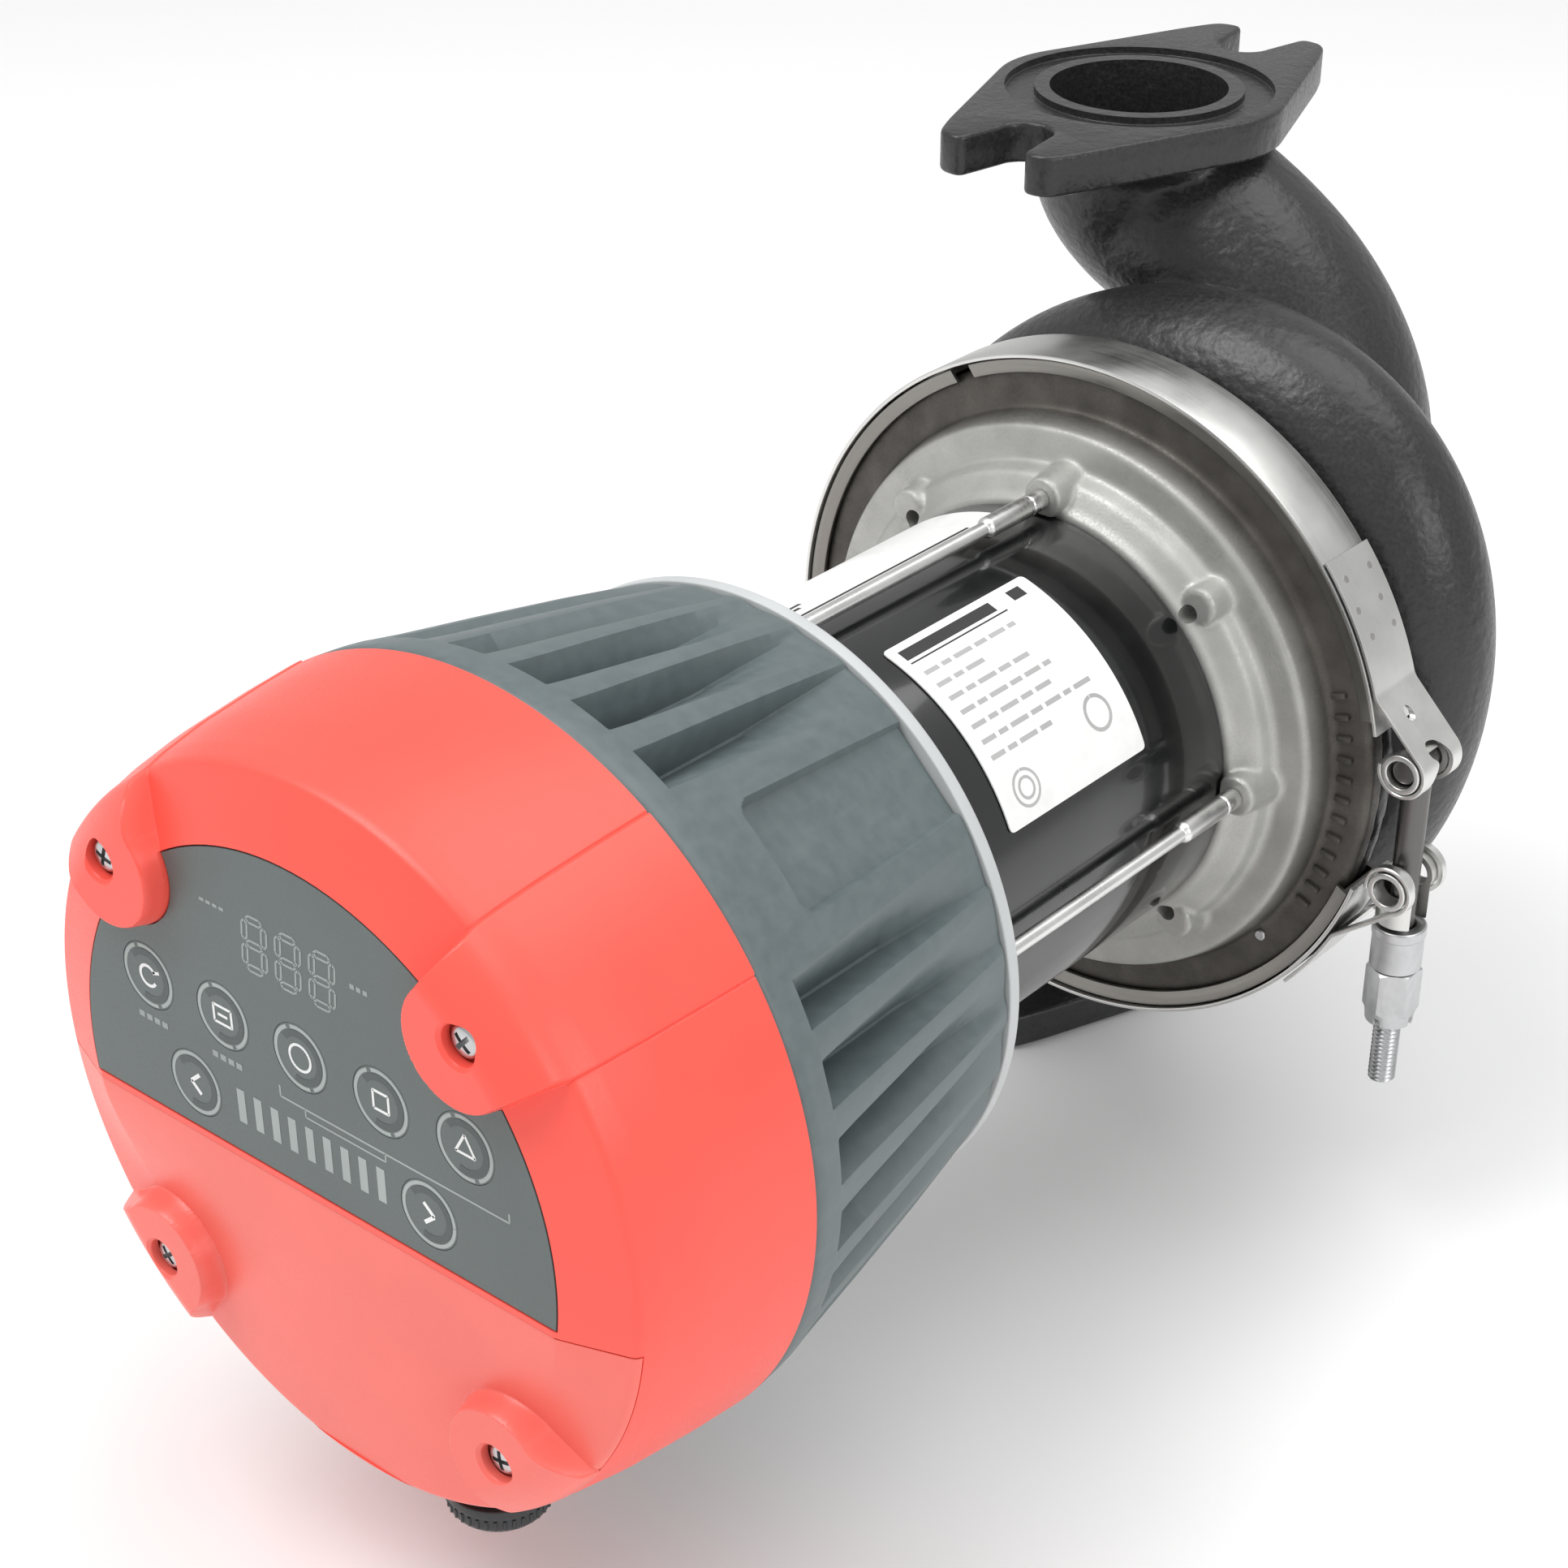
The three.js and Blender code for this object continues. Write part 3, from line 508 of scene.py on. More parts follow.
def bright_zinc():
    s = Shader("bright_zinc", (0.70, 0.71, 0.72), 0.26, 1.0)
    patches = s.noise(2.6, 3.0)
    s.cloud(patches, (0.50, 0.505, 0.51), (0.56, 0.565, 0.57))
    s.roughness(s.ramp(patches, 0.30, 0.34))
    s.bump(s.noise(0.7, 3.0), 0.008, 0.3)
    return s.material


def black_enamel():
    s = Shader("black_enamel", (0.006, 0.0065, 0.007), 0.16, coat_weight=0.6, coat_roughness=0.06)
    s.roughness(s.ramp(s.noise(18.0, 3.0), 0.13, 0.26))
    s.bump(s.noise(2.4, 2.0), 0.02, 0.35)
    return s.material


def moulded(name, color, roughness, shade_change=0.08, grain_mm=0.35, depth=0.015, **inputs):
    """Injection-moulded plastic: a faint cloud of colour and a very fine spark-eroded grain."""
    s = Shader(name, color, roughness, **inputs)
    darker = tuple(c * (1 - shade_change) for c in color)
    s.cloud(s.noise(22.0, 2.0), darker, color)
    grain = s.noise(grain_mm, 2.0)
    s.roughness(s.ramp(grain, roughness - 0.05, roughness + 0.06))
    s.bump(grain, depth, 0.5)
    return s.material


def drum_plastic():
    """Grey housing plastic: mottled, rougher than the cover, with pale rubbed streaks along the ribs."""
    s = Shader("drum_plastic", (0.12, 0.149, 0.153), 0.42)
    wrapped, _ = s.around_axis()
    mottle = s.noise(3.0, 3.0)
    streaks = s.noise(2.6, 3.0, (1.0, 0.10, 1.0), wrapped)
    base = s.mix_colors(s.ramp(mottle, 0.0, 1.0), (0.104, 0.131, 0.135), (0.120, 0.149, 0.153))
    s.color(s.mix_colors(s.ramp(streaks, 0.0, 0.22, 0.52, 0.8), base, (0.185, 0.215, 0.219)))
    s.roughness(s.ramp(mottle, 0.38, 0.48))
    s.bump(s.noise(0.45, 3.0), 0.025, 0.5)
    return s.material


def laminations():
    s = Shader("laminations", (0.35, 0.36, 0.37), 0.42, 1.0)
    sheets = s.noise(0.5, 1.0, (0.01, 1.0, 0.01))
    s.cloud(sheets, (0.22, 0.23, 0.24), (0.42, 0.43, 0.44))
    s.bump(sheets, 0.05, 0.8)
    return s.material


def copper_wire():
    s = Shader("copper_wire", (0.55, 0.20, 0.08), 0.32, 0.9)
    wrapped, _ = s.around_axis()
    strands = s.noise(0.8, 2.0, (0.15, 1.0, 1.0), wrapped)
    s.cloud(strands, (0.35, 0.11, 0.04), (0.66, 0.27, 0.11))
    s.bump(strands, 0.2, 0.8)
    return s.material


def circuit_board():
    s = Shader("circuit_board", (0.014, 0.10, 0.04), 0.38)
    tracks = s.noise(2.0, 1.0, (1.0, 1.0, 0.2))
    s.color(s.mix_colors(s.ramp(tracks, 0.0, 1.0, 0.48, 0.52), (0.012, 0.085, 0.035), (0.03, 0.15, 0.06)))
    s.bump(tracks, 0.04, 0.5)
    return s.material


def paper():
    s = Shader("label_stock", (0.86, 0.86, 0.85), 0.42, coat_weight=0.15)
    s.cloud(s.noise(6.0, 3.0), (0.82, 0.82, 0.81), (0.88, 0.88, 0.87))
    s.bump(s.noise(0.4, 2.0), 0.01, 0.3)
    return s.material


CAST = cast_paint()
ALUMINIUM = cast_aluminium()
STRIP = brushed_strip()
DARK_STEEL = brushed_strip("latch_bolt_steel", (0.16, 0.155, 0.15), 0.34)
# Painted shade: the retainer segments get a darker copy of the band's stainless, for the shade they sit in
# under the band.
SHADED_RETAINER_STEEL = brushed_strip("retainer_steel_painted_shade", (0.30, 0.29, 0.27), 0.34)
ROD_STEEL = brushed_strip("rod_steel", (0.80, 0.80, 0.79), 0.30)
WELD = brushed_strip("weld_mark", (0.50, 0.49, 0.47), 0.35)
ZINC = bright_zinc()
ENAMEL = black_enamel()
RED = moulded("coral_plastic", (0.95, 0.100, 0.072), 0.36, 0.05, specular_ior_level=0.45)
# Painted sheen: the lid's lighter, pinker copy of the coral plastic stands in for the pale floor's
# reflection.
LID_RED_PAINTED_SHEEN = moulded("lid_plastic_painted_sheen", (0.90, 0.155, 0.122), 0.34, 0.05, 0.35, 0.007, specular_ior_level=0.5)
GREY = drum_plastic()
PALE = moulded("pale_plastic", (0.54, 0.56, 0.56), 0.42)
FILM = moulded("keypad_film", (0.094, 0.119, 0.115), 0.40, 0.06, 0.6, 0.012)
# A dark crescent of painted shade inside each key ring, on one side only.
FILM_PAINTED_SHADE = moulded("keypad_painted_shade", (0.058, 0.075, 0.074), 0.42, 0.10, 0.6, 0.012)
PRINT = moulded("pale_print", (0.36, 0.405, 0.39), 0.45, 0.10)
FAINT_PRINT = moulded("faint_print", (0.30, 0.34, 0.33), 0.45, 0.10)
ICON = moulded("white_print", (0.82, 0.84, 0.83), 0.45, 0.05)
BLACK = moulded("black_plastic", (0.022, 0.030, 0.032), 0.38, 0.15, 0.5, 0.03)
RUBBER = moulded("seal_rubber", (0.012, 0.012, 0.012), 0.62, 0.2, 0.8, 0.05)
CARBON = moulded("carbon", (0.03, 0.03, 0.033), 0.42, 0.2, 0.3, 0.02)
CERAMIC = moulded("ceramic", (0.78, 0.74, 0.67), 0.22, 0.05, 0.8, 0.01)
INK = moulded("label_ink", (0.03, 0.03, 0.032), 0.5, 0.1)
FAINT_INK = moulded("faint_label_ink", (0.44, 0.44, 0.44), 0.5, 0.1)
LAMINATION = laminations()
COPPER = copper_wire()
BOARD = circuit_board()
PAPER = paper()


# ---- Volute ----

SCROLL_Y, SCROLL_HALF, SCROLL_BASE, SCROLL_EYE = 20.5, 18.0, 73.0, 30.0
SCROLL_BULGE, SCROLL_ANGLE, FADE_BEFORE, FADE_AFTER = 12.5, 52.0, 45.0, 54.0
FLANGE_DEPTH, COLLAR_RADIUS, COLLAR_REACH = 8.6, 25.5, 5.0
SUCTION_TURNS = [
    (0, 0, 0), (0, 0, -14), (5, 3, -23), (17, 4, -29), (30, 4.5, -38), (39.5, 4.5, -48),
    (46, 4, -59), (49, 3.5, -71), (48, 2, -86), (42, -2, -100), (36, -8, -108), (36, -26, -108),
]
SUCTION_RADII = [22.4, 22.4, 22.5, 22.8, 23.4, 24.0, 24.6, 25.0, 25.2, PORT_OUTER, PORT_OUTER, PORT_OUTER]
SUCTION_PATH = [(PORT_X + x, PORT_Y + y, PORT_Z - 1 + z) for x, y, z in SUCTION_TURNS]
DISCHARGE_PATH = [
    (-22, 20, 52), (-36, 21, 41), (-46, 24, 24), (-52, 26, 6), (-56, 30, -18), (-55, 36, -42),
    (-47, 45, -66), (-39, 50.5, -86), (PORT_X, PORT_Y, -98), (PORT_X, PORT_Y, -PORT_Z + 1),
]
DISCHARGE_RADII = [13.0, 17.0, 21.5, 24.5, 25.0] + 5 * [PORT_OUTER]
DISCHARGE_BORES = [9.0, 12.0, 15.5, 16.5, 17.0, 18.0] + 4 * [PORT_BORE]


def swell(target):
    """The scroll stands out furthest where it turns towards the pipe, and fades to both sides."""
    for vertex in target.data.vertices:
        x, y, z = (vertex.co - DATUM) / MM
        radius = math.hypot(x, z)
        if radius < SCROLL_EYE or y < 2:
            continue
        away = (math.degrees(math.atan2(z, x)) - SCROLL_ANGLE + 180) % 360 - 180
        fade = FADE_BEFORE if away < 0 else FADE_AFTER
        share = (radius - SCROLL_EYE) / (SCROLL_BASE - SCROLL_EYE)
        extra = SCROLL_BULGE * math.exp(-((away / fade) ** 2)) * share
        grown = (radius + extra) / radius
        vertex.co.x = DATUM.x + x * grown * MM
        vertex.co.z = DATUM.z + z * grown * MM
    return target


def scroll_section(radius, start, end, steps):
    return arc(radius, start, end, steps, (SCROLL_BASE - SCROLL_HALF, SCROLL_Y))


def flange_outline():
    """Seen along the pipe: a round middle and two forked fingers at each end."""
    slot_end = 35.1
    slot = [(u, v, 0) for u, v in arc(5.8, 270, 360, 8, (0, slot_end + 5.8))]
    finger = [(7.9, 52.5, 2.2), (13.8, 52.0, 3.0), (17.4, 44.5, 5), (32.6, 4.5, 9)]
    quarter = slot + finger
    right = quarter + [(x, -y, r) for x, y, r in reversed(quarter)]
    left = [(-x, y, r) for x, y, r in reversed(right[1:-1])]
    return [(PORT_X + x, PORT_Y + y) for x, y in softened(right + left)]


def port_pieces(side):
    """The flange of one port, the collar under it and the groove for its gasket."""
    face = side * PORT_Z
    back = side * (PORT_Z - FLANGE_DEPTH)
    flange = prism("flange", flange_outline(), face, back, "z", 0.9)
    collar_from = (PORT_X, PORT_Y, side * (PORT_Z - 8))
    collar_to = (PORT_X, PORT_Y, side * (PORT_Z - 8 - COLLAR_REACH))
    collar = rod("collar", COLLAR_RADIUS, collar_from, collar_to, 64, 2.0)
    corners = [(22.4, -1, 0), (22.4, 1.6, 0.3), (28.8, 1.6, 0.3), (28.8, -1, 0)]
    groove = turned_along("groove", corners, (PORT_X, PORT_Y, face), (0, 0, -side), 96)
    return flange, collar, groove


def volute():
    front = [(0, -6.2), (71, -6.2), (71, -1.9), (64.5, -1.9), (64.5, 1.9)]
    outside = scroll_section(SCROLL_HALF, -68, 80, 20)
    scroll = swell(turned("scroll", [*front, *outside, (0, SCROLL_Y + SCROLL_HALF)], 180))
    flanges, collars, grooves = zip(port_pieces(1), port_pieces(-1))
    suction = swept("suction", SUCTION_PATH, SUCTION_RADII)
    discharge = swept("discharge", DISCHARGE_PATH, DISCHARGE_RADII)
    casting = fused("volute_shell", [scroll, *collars, suction, discharge], 1.1, 6)
    boolean(casting, "UNION", *flanges)
    inside = scroll_section(12.5, -100, 100, 12)
    chamber = [(0, -7), (62.3, -7), (62.3, 1.5), (50, 1.5), *inside, (50, 25.5), (0, 25.5)]
    hollow = swell(turned("hollow", chamber, 96))
    upper_mouth = (PORT_X, PORT_Y, PORT_Z + 4)
    lower_mouth = (PORT_X, PORT_Y, -PORT_Z - 4)
    bores = [
        swept("suction_bore", [upper_mouth, *SUCTION_PATH[1:]], PORT_BORE, sides=96),
        swept("discharge_bore", [*DISCHARGE_PATH[:-1], lower_mouth], DISCHARGE_BORES, sides=96),
        rod("eye", 25, (0, 24, 0), (0, 36, 0), 96),
    ]
    boolean(casting, "DIFFERENCE", *grooves, hollow, *bores)
    return finished(casting, CAST, "cast_iron", "volute_casing")


# ---- Drive housing ----

DRUM_LINE = [(SEAM_Y, 74.7), (-181, 74.2), (-174, 72.8), (-158, 70.0), (-138, 66.3), (NECK_Y, 62.5)]
DRUM_BORE, NECK_BORE, NECK_WALL = 57.0, 46.9, 3.2
SLOT_PITCH, SLOT_START, SLOT_FULL, SLOT_END = 11.0, -180.2, -179.3, -121.0
SLOT_STEPS = [SLOT_PITCH * (k - 2.5) for k in range(6)]
TRAY_START, TRAY_CORNER = -170.0, 4.0


def drum_radius(y):
    """The drum's outside. Its two rims are eased."""
    plain = np.interp(y, *zip(*DRUM_LINE))
    return plain - 0.5 * (1 - smoothstep(SEAM_Y, -186.3, y)) - 0.4 * smoothstep(-120.3, NECK_Y, y)


def slot_half_width(y):
    return np.interp(y, [-180, SLOT_END], [4.4, 4.9])


def slot_depth(y):
    """Deep beside the seam, and almost nothing at the neck."""
    return np.interp(y, [-179, -150, NECK_Y], [9.2, 6.3, 0.5]) * smoothstep(SLOT_START, SLOT_FULL, y)


def slot_floor(y, step):
    """Where the V's lowest line runs, as a share of the half width. All slots of a quarter are cut along
    the quarter's own axis, so the line leans further over on the slots that stand further from it."""
    lean = np.interp(y, [-180, SLOT_END], [0.52, 0.78])
    return -np.sign(step) * lean * (0.35 + 0.65 * abs(step) / SLOT_STEPS[-1])


def panel_depth(angle, y, radius):
    """A shallow flat-floored tray between two groups of slots. It runs out open at the neck."""
    away = np.minimum.reduce([np.abs((angle - middle + 180) % 360 - 180) for middle in DIAGONALS])
    across = np.radians(away) * radius
    reach = np.interp(y, [TRAY_START, SLOT_END], [11.0, 9.6])
    beside = across - (reach - TRAY_CORNER)
    above = TRAY_START + TRAY_CORNER - y
    corner = np.hypot(np.maximum(beside, 0), np.maximum(above, 0))
    outside = corner + np.minimum(np.maximum(beside, above), 0) - TRAY_CORNER
    floor = np.interp(y, [TRAY_START, SLOT_END], [3.9, 1.9]) - across ** 2 / (2 * radius)
    return floor * (1 - smoothstep(-0.55, 0.05, outside))


def slot_section(floor):
    """Across a slot: share of the half width, extra width in millimetres, share of the depth."""
    left, right = floor - 0.07, floor + 0.07
    middle_left, middle_right = (left - 1) / 2, (right + 1) / 2
    return [
        (-1.0, -0.25, 0.0), (-1.0, 0.0, 0.01), (middle_left, 0.0, 0.5), (left, 0.0, 1.0),
        (right, 0.0, 1.0), (middle_right, 0.0, 0.5), (1.0, 0.0, 0.01), (1.0, 0.25, 0.0),
    ]


def housing_rows():
    """Places along the axis: close together at the rims, the slots' starts and the trays' ends."""
    return np.unique(np.concatenate([
        [SEAM_Y, -186.7, -186.2, -184, -182, -180.3],
        np.arange(SLOT_START, -179.0, 0.15),
        np.arange(-178.8, -177, 0.5),
        [-176.5, -175.5, -174, -172.5, -171.5, -171],
        np.arange(-170.4, -167, 0.3),
        np.arange(-166.5, -124, 1.25),
        [-123.5, -122.8, -122, -121.4, -120.8, -120.3, -119.9, NECK_Y],
    ]))


def housing_columns(rows, radii):
    """Lines along the drum, in order round it. Each holds its angle and its slot's depth at every row."""
    half = slot_half_width(rows)
    depths = slot_depth(rows)
    still = 0 * rows
    columns = []
    for quarter in QUARTERS:
        columns.append((quarter - 3 * SLOT_PITCH + still, still))
        for step in SLOT_STEPS:
            for share, lip, depth in slot_section(slot_floor(rows, step)):
                offset = np.degrees((share * half + lip) / radii)
                columns.append((quarter + step + offset, depths * depth))
            columns.append((quarter + step + SLOT_PITCH / 2 + still, still))
    for middle in DIAGONALS:
        columns += [(middle + offset + still, still) for offset in np.arange(-11.0, 11.01, 0.3)]
    columns.sort(key=lambda column: column[0][len(rows) // 2] % 360)
    return columns


def drive_housing():
    rows = housing_rows()
    radii = drum_radius(rows)
    columns = housing_columns(rows, radii)
    inner = [(NECK_BORE, NECK_Y), (NECK_BORE, NECK_Y - NECK_WALL), (DRUM_BORE, NECK_Y - NECK_WALL)]
    vertices = []
    for angles, depth in columns:
        total = np.maximum(depth, panel_depth(angles, rows, radii))
        spokes = [spot(1.0, angle) for angle in angles]
        vertices.append((DRUM_BORE * spokes[0][0], SEAM_Y, DRUM_BORE * spokes[0][1]))
        vertices += [((r - t) * c, y, (r - t) * s) for (c, s), y, r, t in zip(spokes, rows, radii, total)]
        c, s = spokes[-1]
        vertices += [(r * c, y, r * s) for r, y in inner]
    length = len(rows) + 1 + len(inner)
    faces = grid_faces(len(columns), length, close_rows=True, close_columns=True)
    housing = mesh_object("drive_shell", vertices, faces, 40)
    finished(housing, GREY, "grey_plastic", "drive_housing")


def neck_ring():
    profile = softened([
        (62.7, -119.3, 0.4), (62.7, -116.3, 0.8), (57.5, -116.4, 0.4), (56.5, -116.9, 0.4),
        (47.2, -116.9, 0.3), (47.2, -119.3, 0),
    ])
    finished(turned("drive_neck_ring", profile, 180), PALE, "pale_grey_plastic", "housing_ring")


# ---- Covers ----

def cone_radius(y):
    return np.interp(y, [-240, -224, -219.5, -211, -197, -187], [67.2, 69.5, 70.7, 72.3, 73.9, 74.7])


def ear_distance(x, z, ear_z):
    """Signed distance to the nearest ear's outline, negative inside. An ear widens towards the rim."""
    best = None
    for side in (1, -1):
        length = math.hypot(EAR_X, ear_z)
        ux, uz = side * EAR_X / length, ear_z / length
        along = x * ux + z * uz
        across = np.abs(-x * uz + z * ux)
        nose = np.hypot(along - EAR_NOSE, across)
        flare = np.interp(along, [EAR_NOSE, 68.0, 73.3], [0.0, 1.7, 3.3])
        distance = np.where(along > EAR_NOSE, across - flare, nose) - EAR_HALF_WIDTH
        best = distance if best is None else np.minimum(best, distance)
    return best


def cover_angles(ear_z):
    """Directions round the cover: close together at the ears, and closest at their mould lines."""
    angles = list(np.arange(0, 360, 0.5))
    ear_angle = math.degrees(math.atan2(ear_z, EAR_X))
    for middle in (ear_angle, 180 - ear_angle):
        angles += list(middle + np.arange(-14, 14, 0.25))
        for side in (-1, 1):
            angles += list(middle + side * np.arange(10.6, 12.8, 0.06))
    return np.unique(np.round(np.mod(angles, 360), 3))


def front_surface(ear_z, ear_face, roll_start, rim_level, base):
    """The cover's front as a polar grid that runs up the side wall, over the crease and to the centre.
    An ear's face rolls off to rim_level beyond roll_start."""
    side_steps = np.concatenate([np.linspace(0, 0.8, 14, endpoint=False), np.linspace(0.8, 1.0, 14)])
    front_steps = np.concatenate([np.linspace(1.0, 0.9, 22)[1:], np.linspace(0.9, 0.62, 56)[1:],
                                  np.linspace(0.62, 0.0, 16)[1:]])
    grid = []
    for angle in cover_angles(ear_z):
        c, s = spot(1.0, angle)
        raised = 1 - float(smoothstep(-1.4, 0.2, ear_distance(CREASE_RADIUS * c, CREASE_RADIUS * s, ear_z)))
        crease_y = CREASE_Y + (rim_level - CREASE_Y) * raised
        line = []
        for t in side_steps:
            y = SEAM_Y - 0.3 + (crease_y - SEAM_Y + 0.3) * t
            r = float(cone_radius(y))
            flank = float(ear_distance(r * c, r * s, ear_z))
            step = EAR_STEP * float(1 - smoothstep(-0.2, 0.2, flank))
            groove = MOULD_LINE * math.exp(-((flank / 0.28) ** 2))
            line.append((r + step - groove, y))
        rim = line[-1][0]
        for t in front_steps:
            r = rim * t
            x, z = r * c, r * s
            ear = 1 - float(smoothstep(-1.3, 0.15, ear_distance(x, z, ear_z)))
            level = float(base(r, z))
            away = min(max((r - roll_start) / (rim - roll_start), 0), 1)
            face = ear_face + (rim_level - ear_face) * away ** 1.7
            line.append((r, level + (face - level) * ear))
        eased = rounded_crease(line, len(side_steps) - 1, 0.9 + 2.0 * raised)
        grid.append([(r * c, y, r * s) for r, y in eased])
    return grid


def rounded_crease(line, corner, reach):
    """Relaxes the points near the crease so that it turns over in a soft curve."""
    points = np.array(line)
    for _ in range(8):
        weight = np.exp(-((np.linalg.norm(points - points[corner], axis=1) / reach) ** 2))[1:-1, None]
        middle = (points[:-2] + points[2:]) / 2
        points[1:-1] += (middle - points[1:-1]) * weight * 0.5
    return [tuple(p) for p in points]


def upper_front(r, z):
    """Flat under the keypad, and coned from there to the crease."""
    radii = [0, PANEL_RADIUS - 0.6, PANEL_RADIUS + 0.8, CREASE_RADIUS]
    return np.interp(r, radii, [PANEL_Y, PANEL_Y, PANEL_Y + 0.45, CREASE_Y])


def lid_front(r, z):
    """Flat and coned like the upper cover at the joint, and domed lower down."""
    coned = np.clip((CREASE_RADIUS - r) / (CREASE_RADIUS - PANEL_RADIUS), 0, 1)
    domed = 1 - np.clip(r / CREASE_RADIUS, 0, 1) ** 2.2
    low = 1 - smoothstep(-34, LID_TOP, z)
    return CREASE_Y + (PANEL_Y + 0.25 - CREASE_Y) * (coned * (1 - low) + domed * low)


def trimmed(target, point, normal):
    """Keeps the side of a plane that the normal points away from."""
    work = bmesh.new()
    work.from_mesh(target.data)
    everything = work.verts[:] + work.edges[:] + work.faces[:]
    place = Vector(point) * MM + DATUM
    bmesh.ops.bisect_plane(work, geom=everything, plane_co=place, plane_no=normal, clear_outer=True)
    work.to_mesh(target.data)
    work.free()
    return target


def thickened(target, thickness):
    """Gives an open sheet its wall, inwards."""
    wall = target.modifiers.new("wall", "SOLIDIFY")
    wall.thickness = thickness * MM
    wall.offset = -1.0
    return apply_modifiers(target, 38)


def sheet(name, grid):
    vertices = [p for line in grid for p in line]
    faces = grid_faces(len(grid), len(grid[0]), close_rows=True)
    made = mesh_object(name, vertices, faces, 38)
    outward_check = made.data.polygons[0]
    spoke = outward_check.center - DATUM
    if outward_check.normal.dot(Vector((spoke.x, 0, spoke.z))) < 0:
        made.data.flip_normals()
    return made


def screw_bores(ear_z, face):
    """The sunk holes for the two cover screws, and the tubes that line them."""
    hole = [(0, -2, 0), (4.3, -2, 0), (4.3, 0, 0), (3.6, 0.6, 0.2), (3.6, 6, 0), (0, 6, 0)]
    tube = [(3.6, 2.9, 0), (6.0, 3.4, 0), (6.0, 20, 0), (3.6, 20, 0)]
    places = [(x, face, ear_z) for x in (EAR_X, -EAR_X)]
    holes = [turned_along("hole", hole, place) for place in places]
    liners = [turned_along("liner", tube, place) for place in places]
    return holes, liners


def key_holes(radius, front, back, sides=48):
    return [rod("key_hole", radius, (x, front, z), (x, back, z), sides) for x, z in KEY_PLACES.values()]


def panel_outline(inset):
    """The keypad window: an arc over a straight foot, with the two ears bitten out."""
    radius = PANEL_RADIUS - inset
    foot = PANEL_FOOT + inset
    bite = EAR_HALF_WIDTH + inset
    start = math.degrees(math.asin(foot / radius))
    half = math.degrees(math.acos((radius ** 2 + EAR_NOSE ** 2 - bite ** 2) / (2 * radius * EAR_NOSE)))
    outline = []
    previous = start
    ear_angle = math.degrees(math.atan2(EAR_UPPER_Z, EAR_X))
    for middle in (ear_angle, 180 - ear_angle):
        outline += arc(radius, previous, middle - half, 24)
        centre = spot(EAR_NOSE, middle)
        first = math.degrees(math.atan2(outline[-1][1] - centre[1], outline[-1][0] - centre[0]))
        away = (first - middle) % 360
        outline += arc(bite, middle + away, middle + 360 - away, 20, centre)[1:-1]
        previous = middle + half
    outline += arc(radius, previous, 180 - start, 24)
    return outline


def control_cover():
    front = front_surface(EAR_UPPER_Z, EAR_UPPER_FACE, 60.5, -226.8, upper_front)
    shell = thickened(sheet("control_shell", front), 2.4)
    window = prism("window", panel_outline(-0.15), PANEL_Y - 3, PANEL_Y + 1.2)
    below = prism("below", rectangle(-90, LID_TOP - 60, 90, LID_TOP), -245, CREASE_Y + 1.2)
    holes, liners = screw_bores(EAR_UPPER_Z, EAR_UPPER_FACE)
    openings = merged("key_holes", *key_holes(KEY_RADIUS + 0.4, PANEL_Y - 1, PANEL_Y + 5))
    boolean(shell, "DIFFERENCE", window, below, openings, *holes)
    shell = merged("control_shell", shell, *liners)
    finished(shell, RED, "red_plastic", "control_cover")


def terminal_cover():
    front = front_surface(EAR_LOWER_Z, EAR_LOWER_FACE, 60.8, -225.6, lid_front)
    lid = sheet("terminal_lid", front)
    trimmed(lid, (0, CREASE_Y + 1.0, 0), (0, 1, 0))
    trimmed(lid, (0, 0, LID_TOP - 0.35), (0, 0, 1))
    lid = thickened(lid, 2.2)
    holes, liners = screw_bores(EAR_LOWER_Z, EAR_LOWER_FACE)
    boolean(lid, "DIFFERENCE", *holes)
    lid = merged("terminal_lid", lid, *liners)
    # The lid's lighter red is a painted sheen.
    finished(lid, LID_RED_PAINTED_SHEEN, "red_plastic", "terminal_cover")


# ---- Keypad ----

FILM_FACE = PANEL_Y + 0.15
DIGIT_LEAN = 0.09


def print_object(name, outlines, material, body, face=FILM_FACE):
    """Printed marks, and the crescents of painted shade inside the key rings: thin flat islands that stand a
    hair above the film.
    """
    marks = [prism("mark", outline, face - 0.05, face + 0.05) for outline in outlines]
    finished(merged(name, *marks), material, "keypad_film", body=body)


def annulus_outline(x, z, outer, inner, start=0.0, end=359.0, steps=40):
    return arc(outer, start, end, steps, (x, z)) + arc(inner, end, start, steps, (x, z))


def bar_outline(x0, z0, x1, z1, width):
    along = Vector((x1 - x0, z1 - z0)).normalized()
    across = Vector((-along.y, along.x)) * (width / 2)
    ends = [(x0, z0, -1), (x1, z1, -1), (x1, z1, 1), (x0, z0, 1)]
    return [(x + side * across.x, z + side * across.y) for x, z, side in ends]


def segment_outlines(x, z, length, upright):
    """A thin outlined bar with pointed ends, as on an unlit display."""
    half, width = length / 2, 0.62
    flat = half - width
    corners = [(-half, 0), (-flat, width), (flat, width), (half, 0), (flat, -width), (-flat, -width)]
    placed = []
    for u, v in corners:
        du, dv = (v, u) if upright else (u, v)
        placed.append((x + du + DIGIT_LEAN * dv, z + dv))
    return [bar_outline(*a, *b, 0.42) for a, b in zip(placed, placed[1:] + placed[:1])]


def digit_outlines(x, z, width=4.7, height=9.6):
    """A seven-segment figure eight drawn in outline."""
    outlines = []
    for level in (-0.5, 0, 0.5):
        up = level * height
        outlines += segment_outlines(x + DIGIT_LEAN * up, z + up, width - 0.9, False)
    for level in (-0.25, 0.25):
        up = level * height
        for side in (-0.5, 0.5):
            across = side * width + DIGIT_LEAN * up
            outlines += segment_outlines(x + across, z + up, height / 2 - 0.9, True)
    return outlines


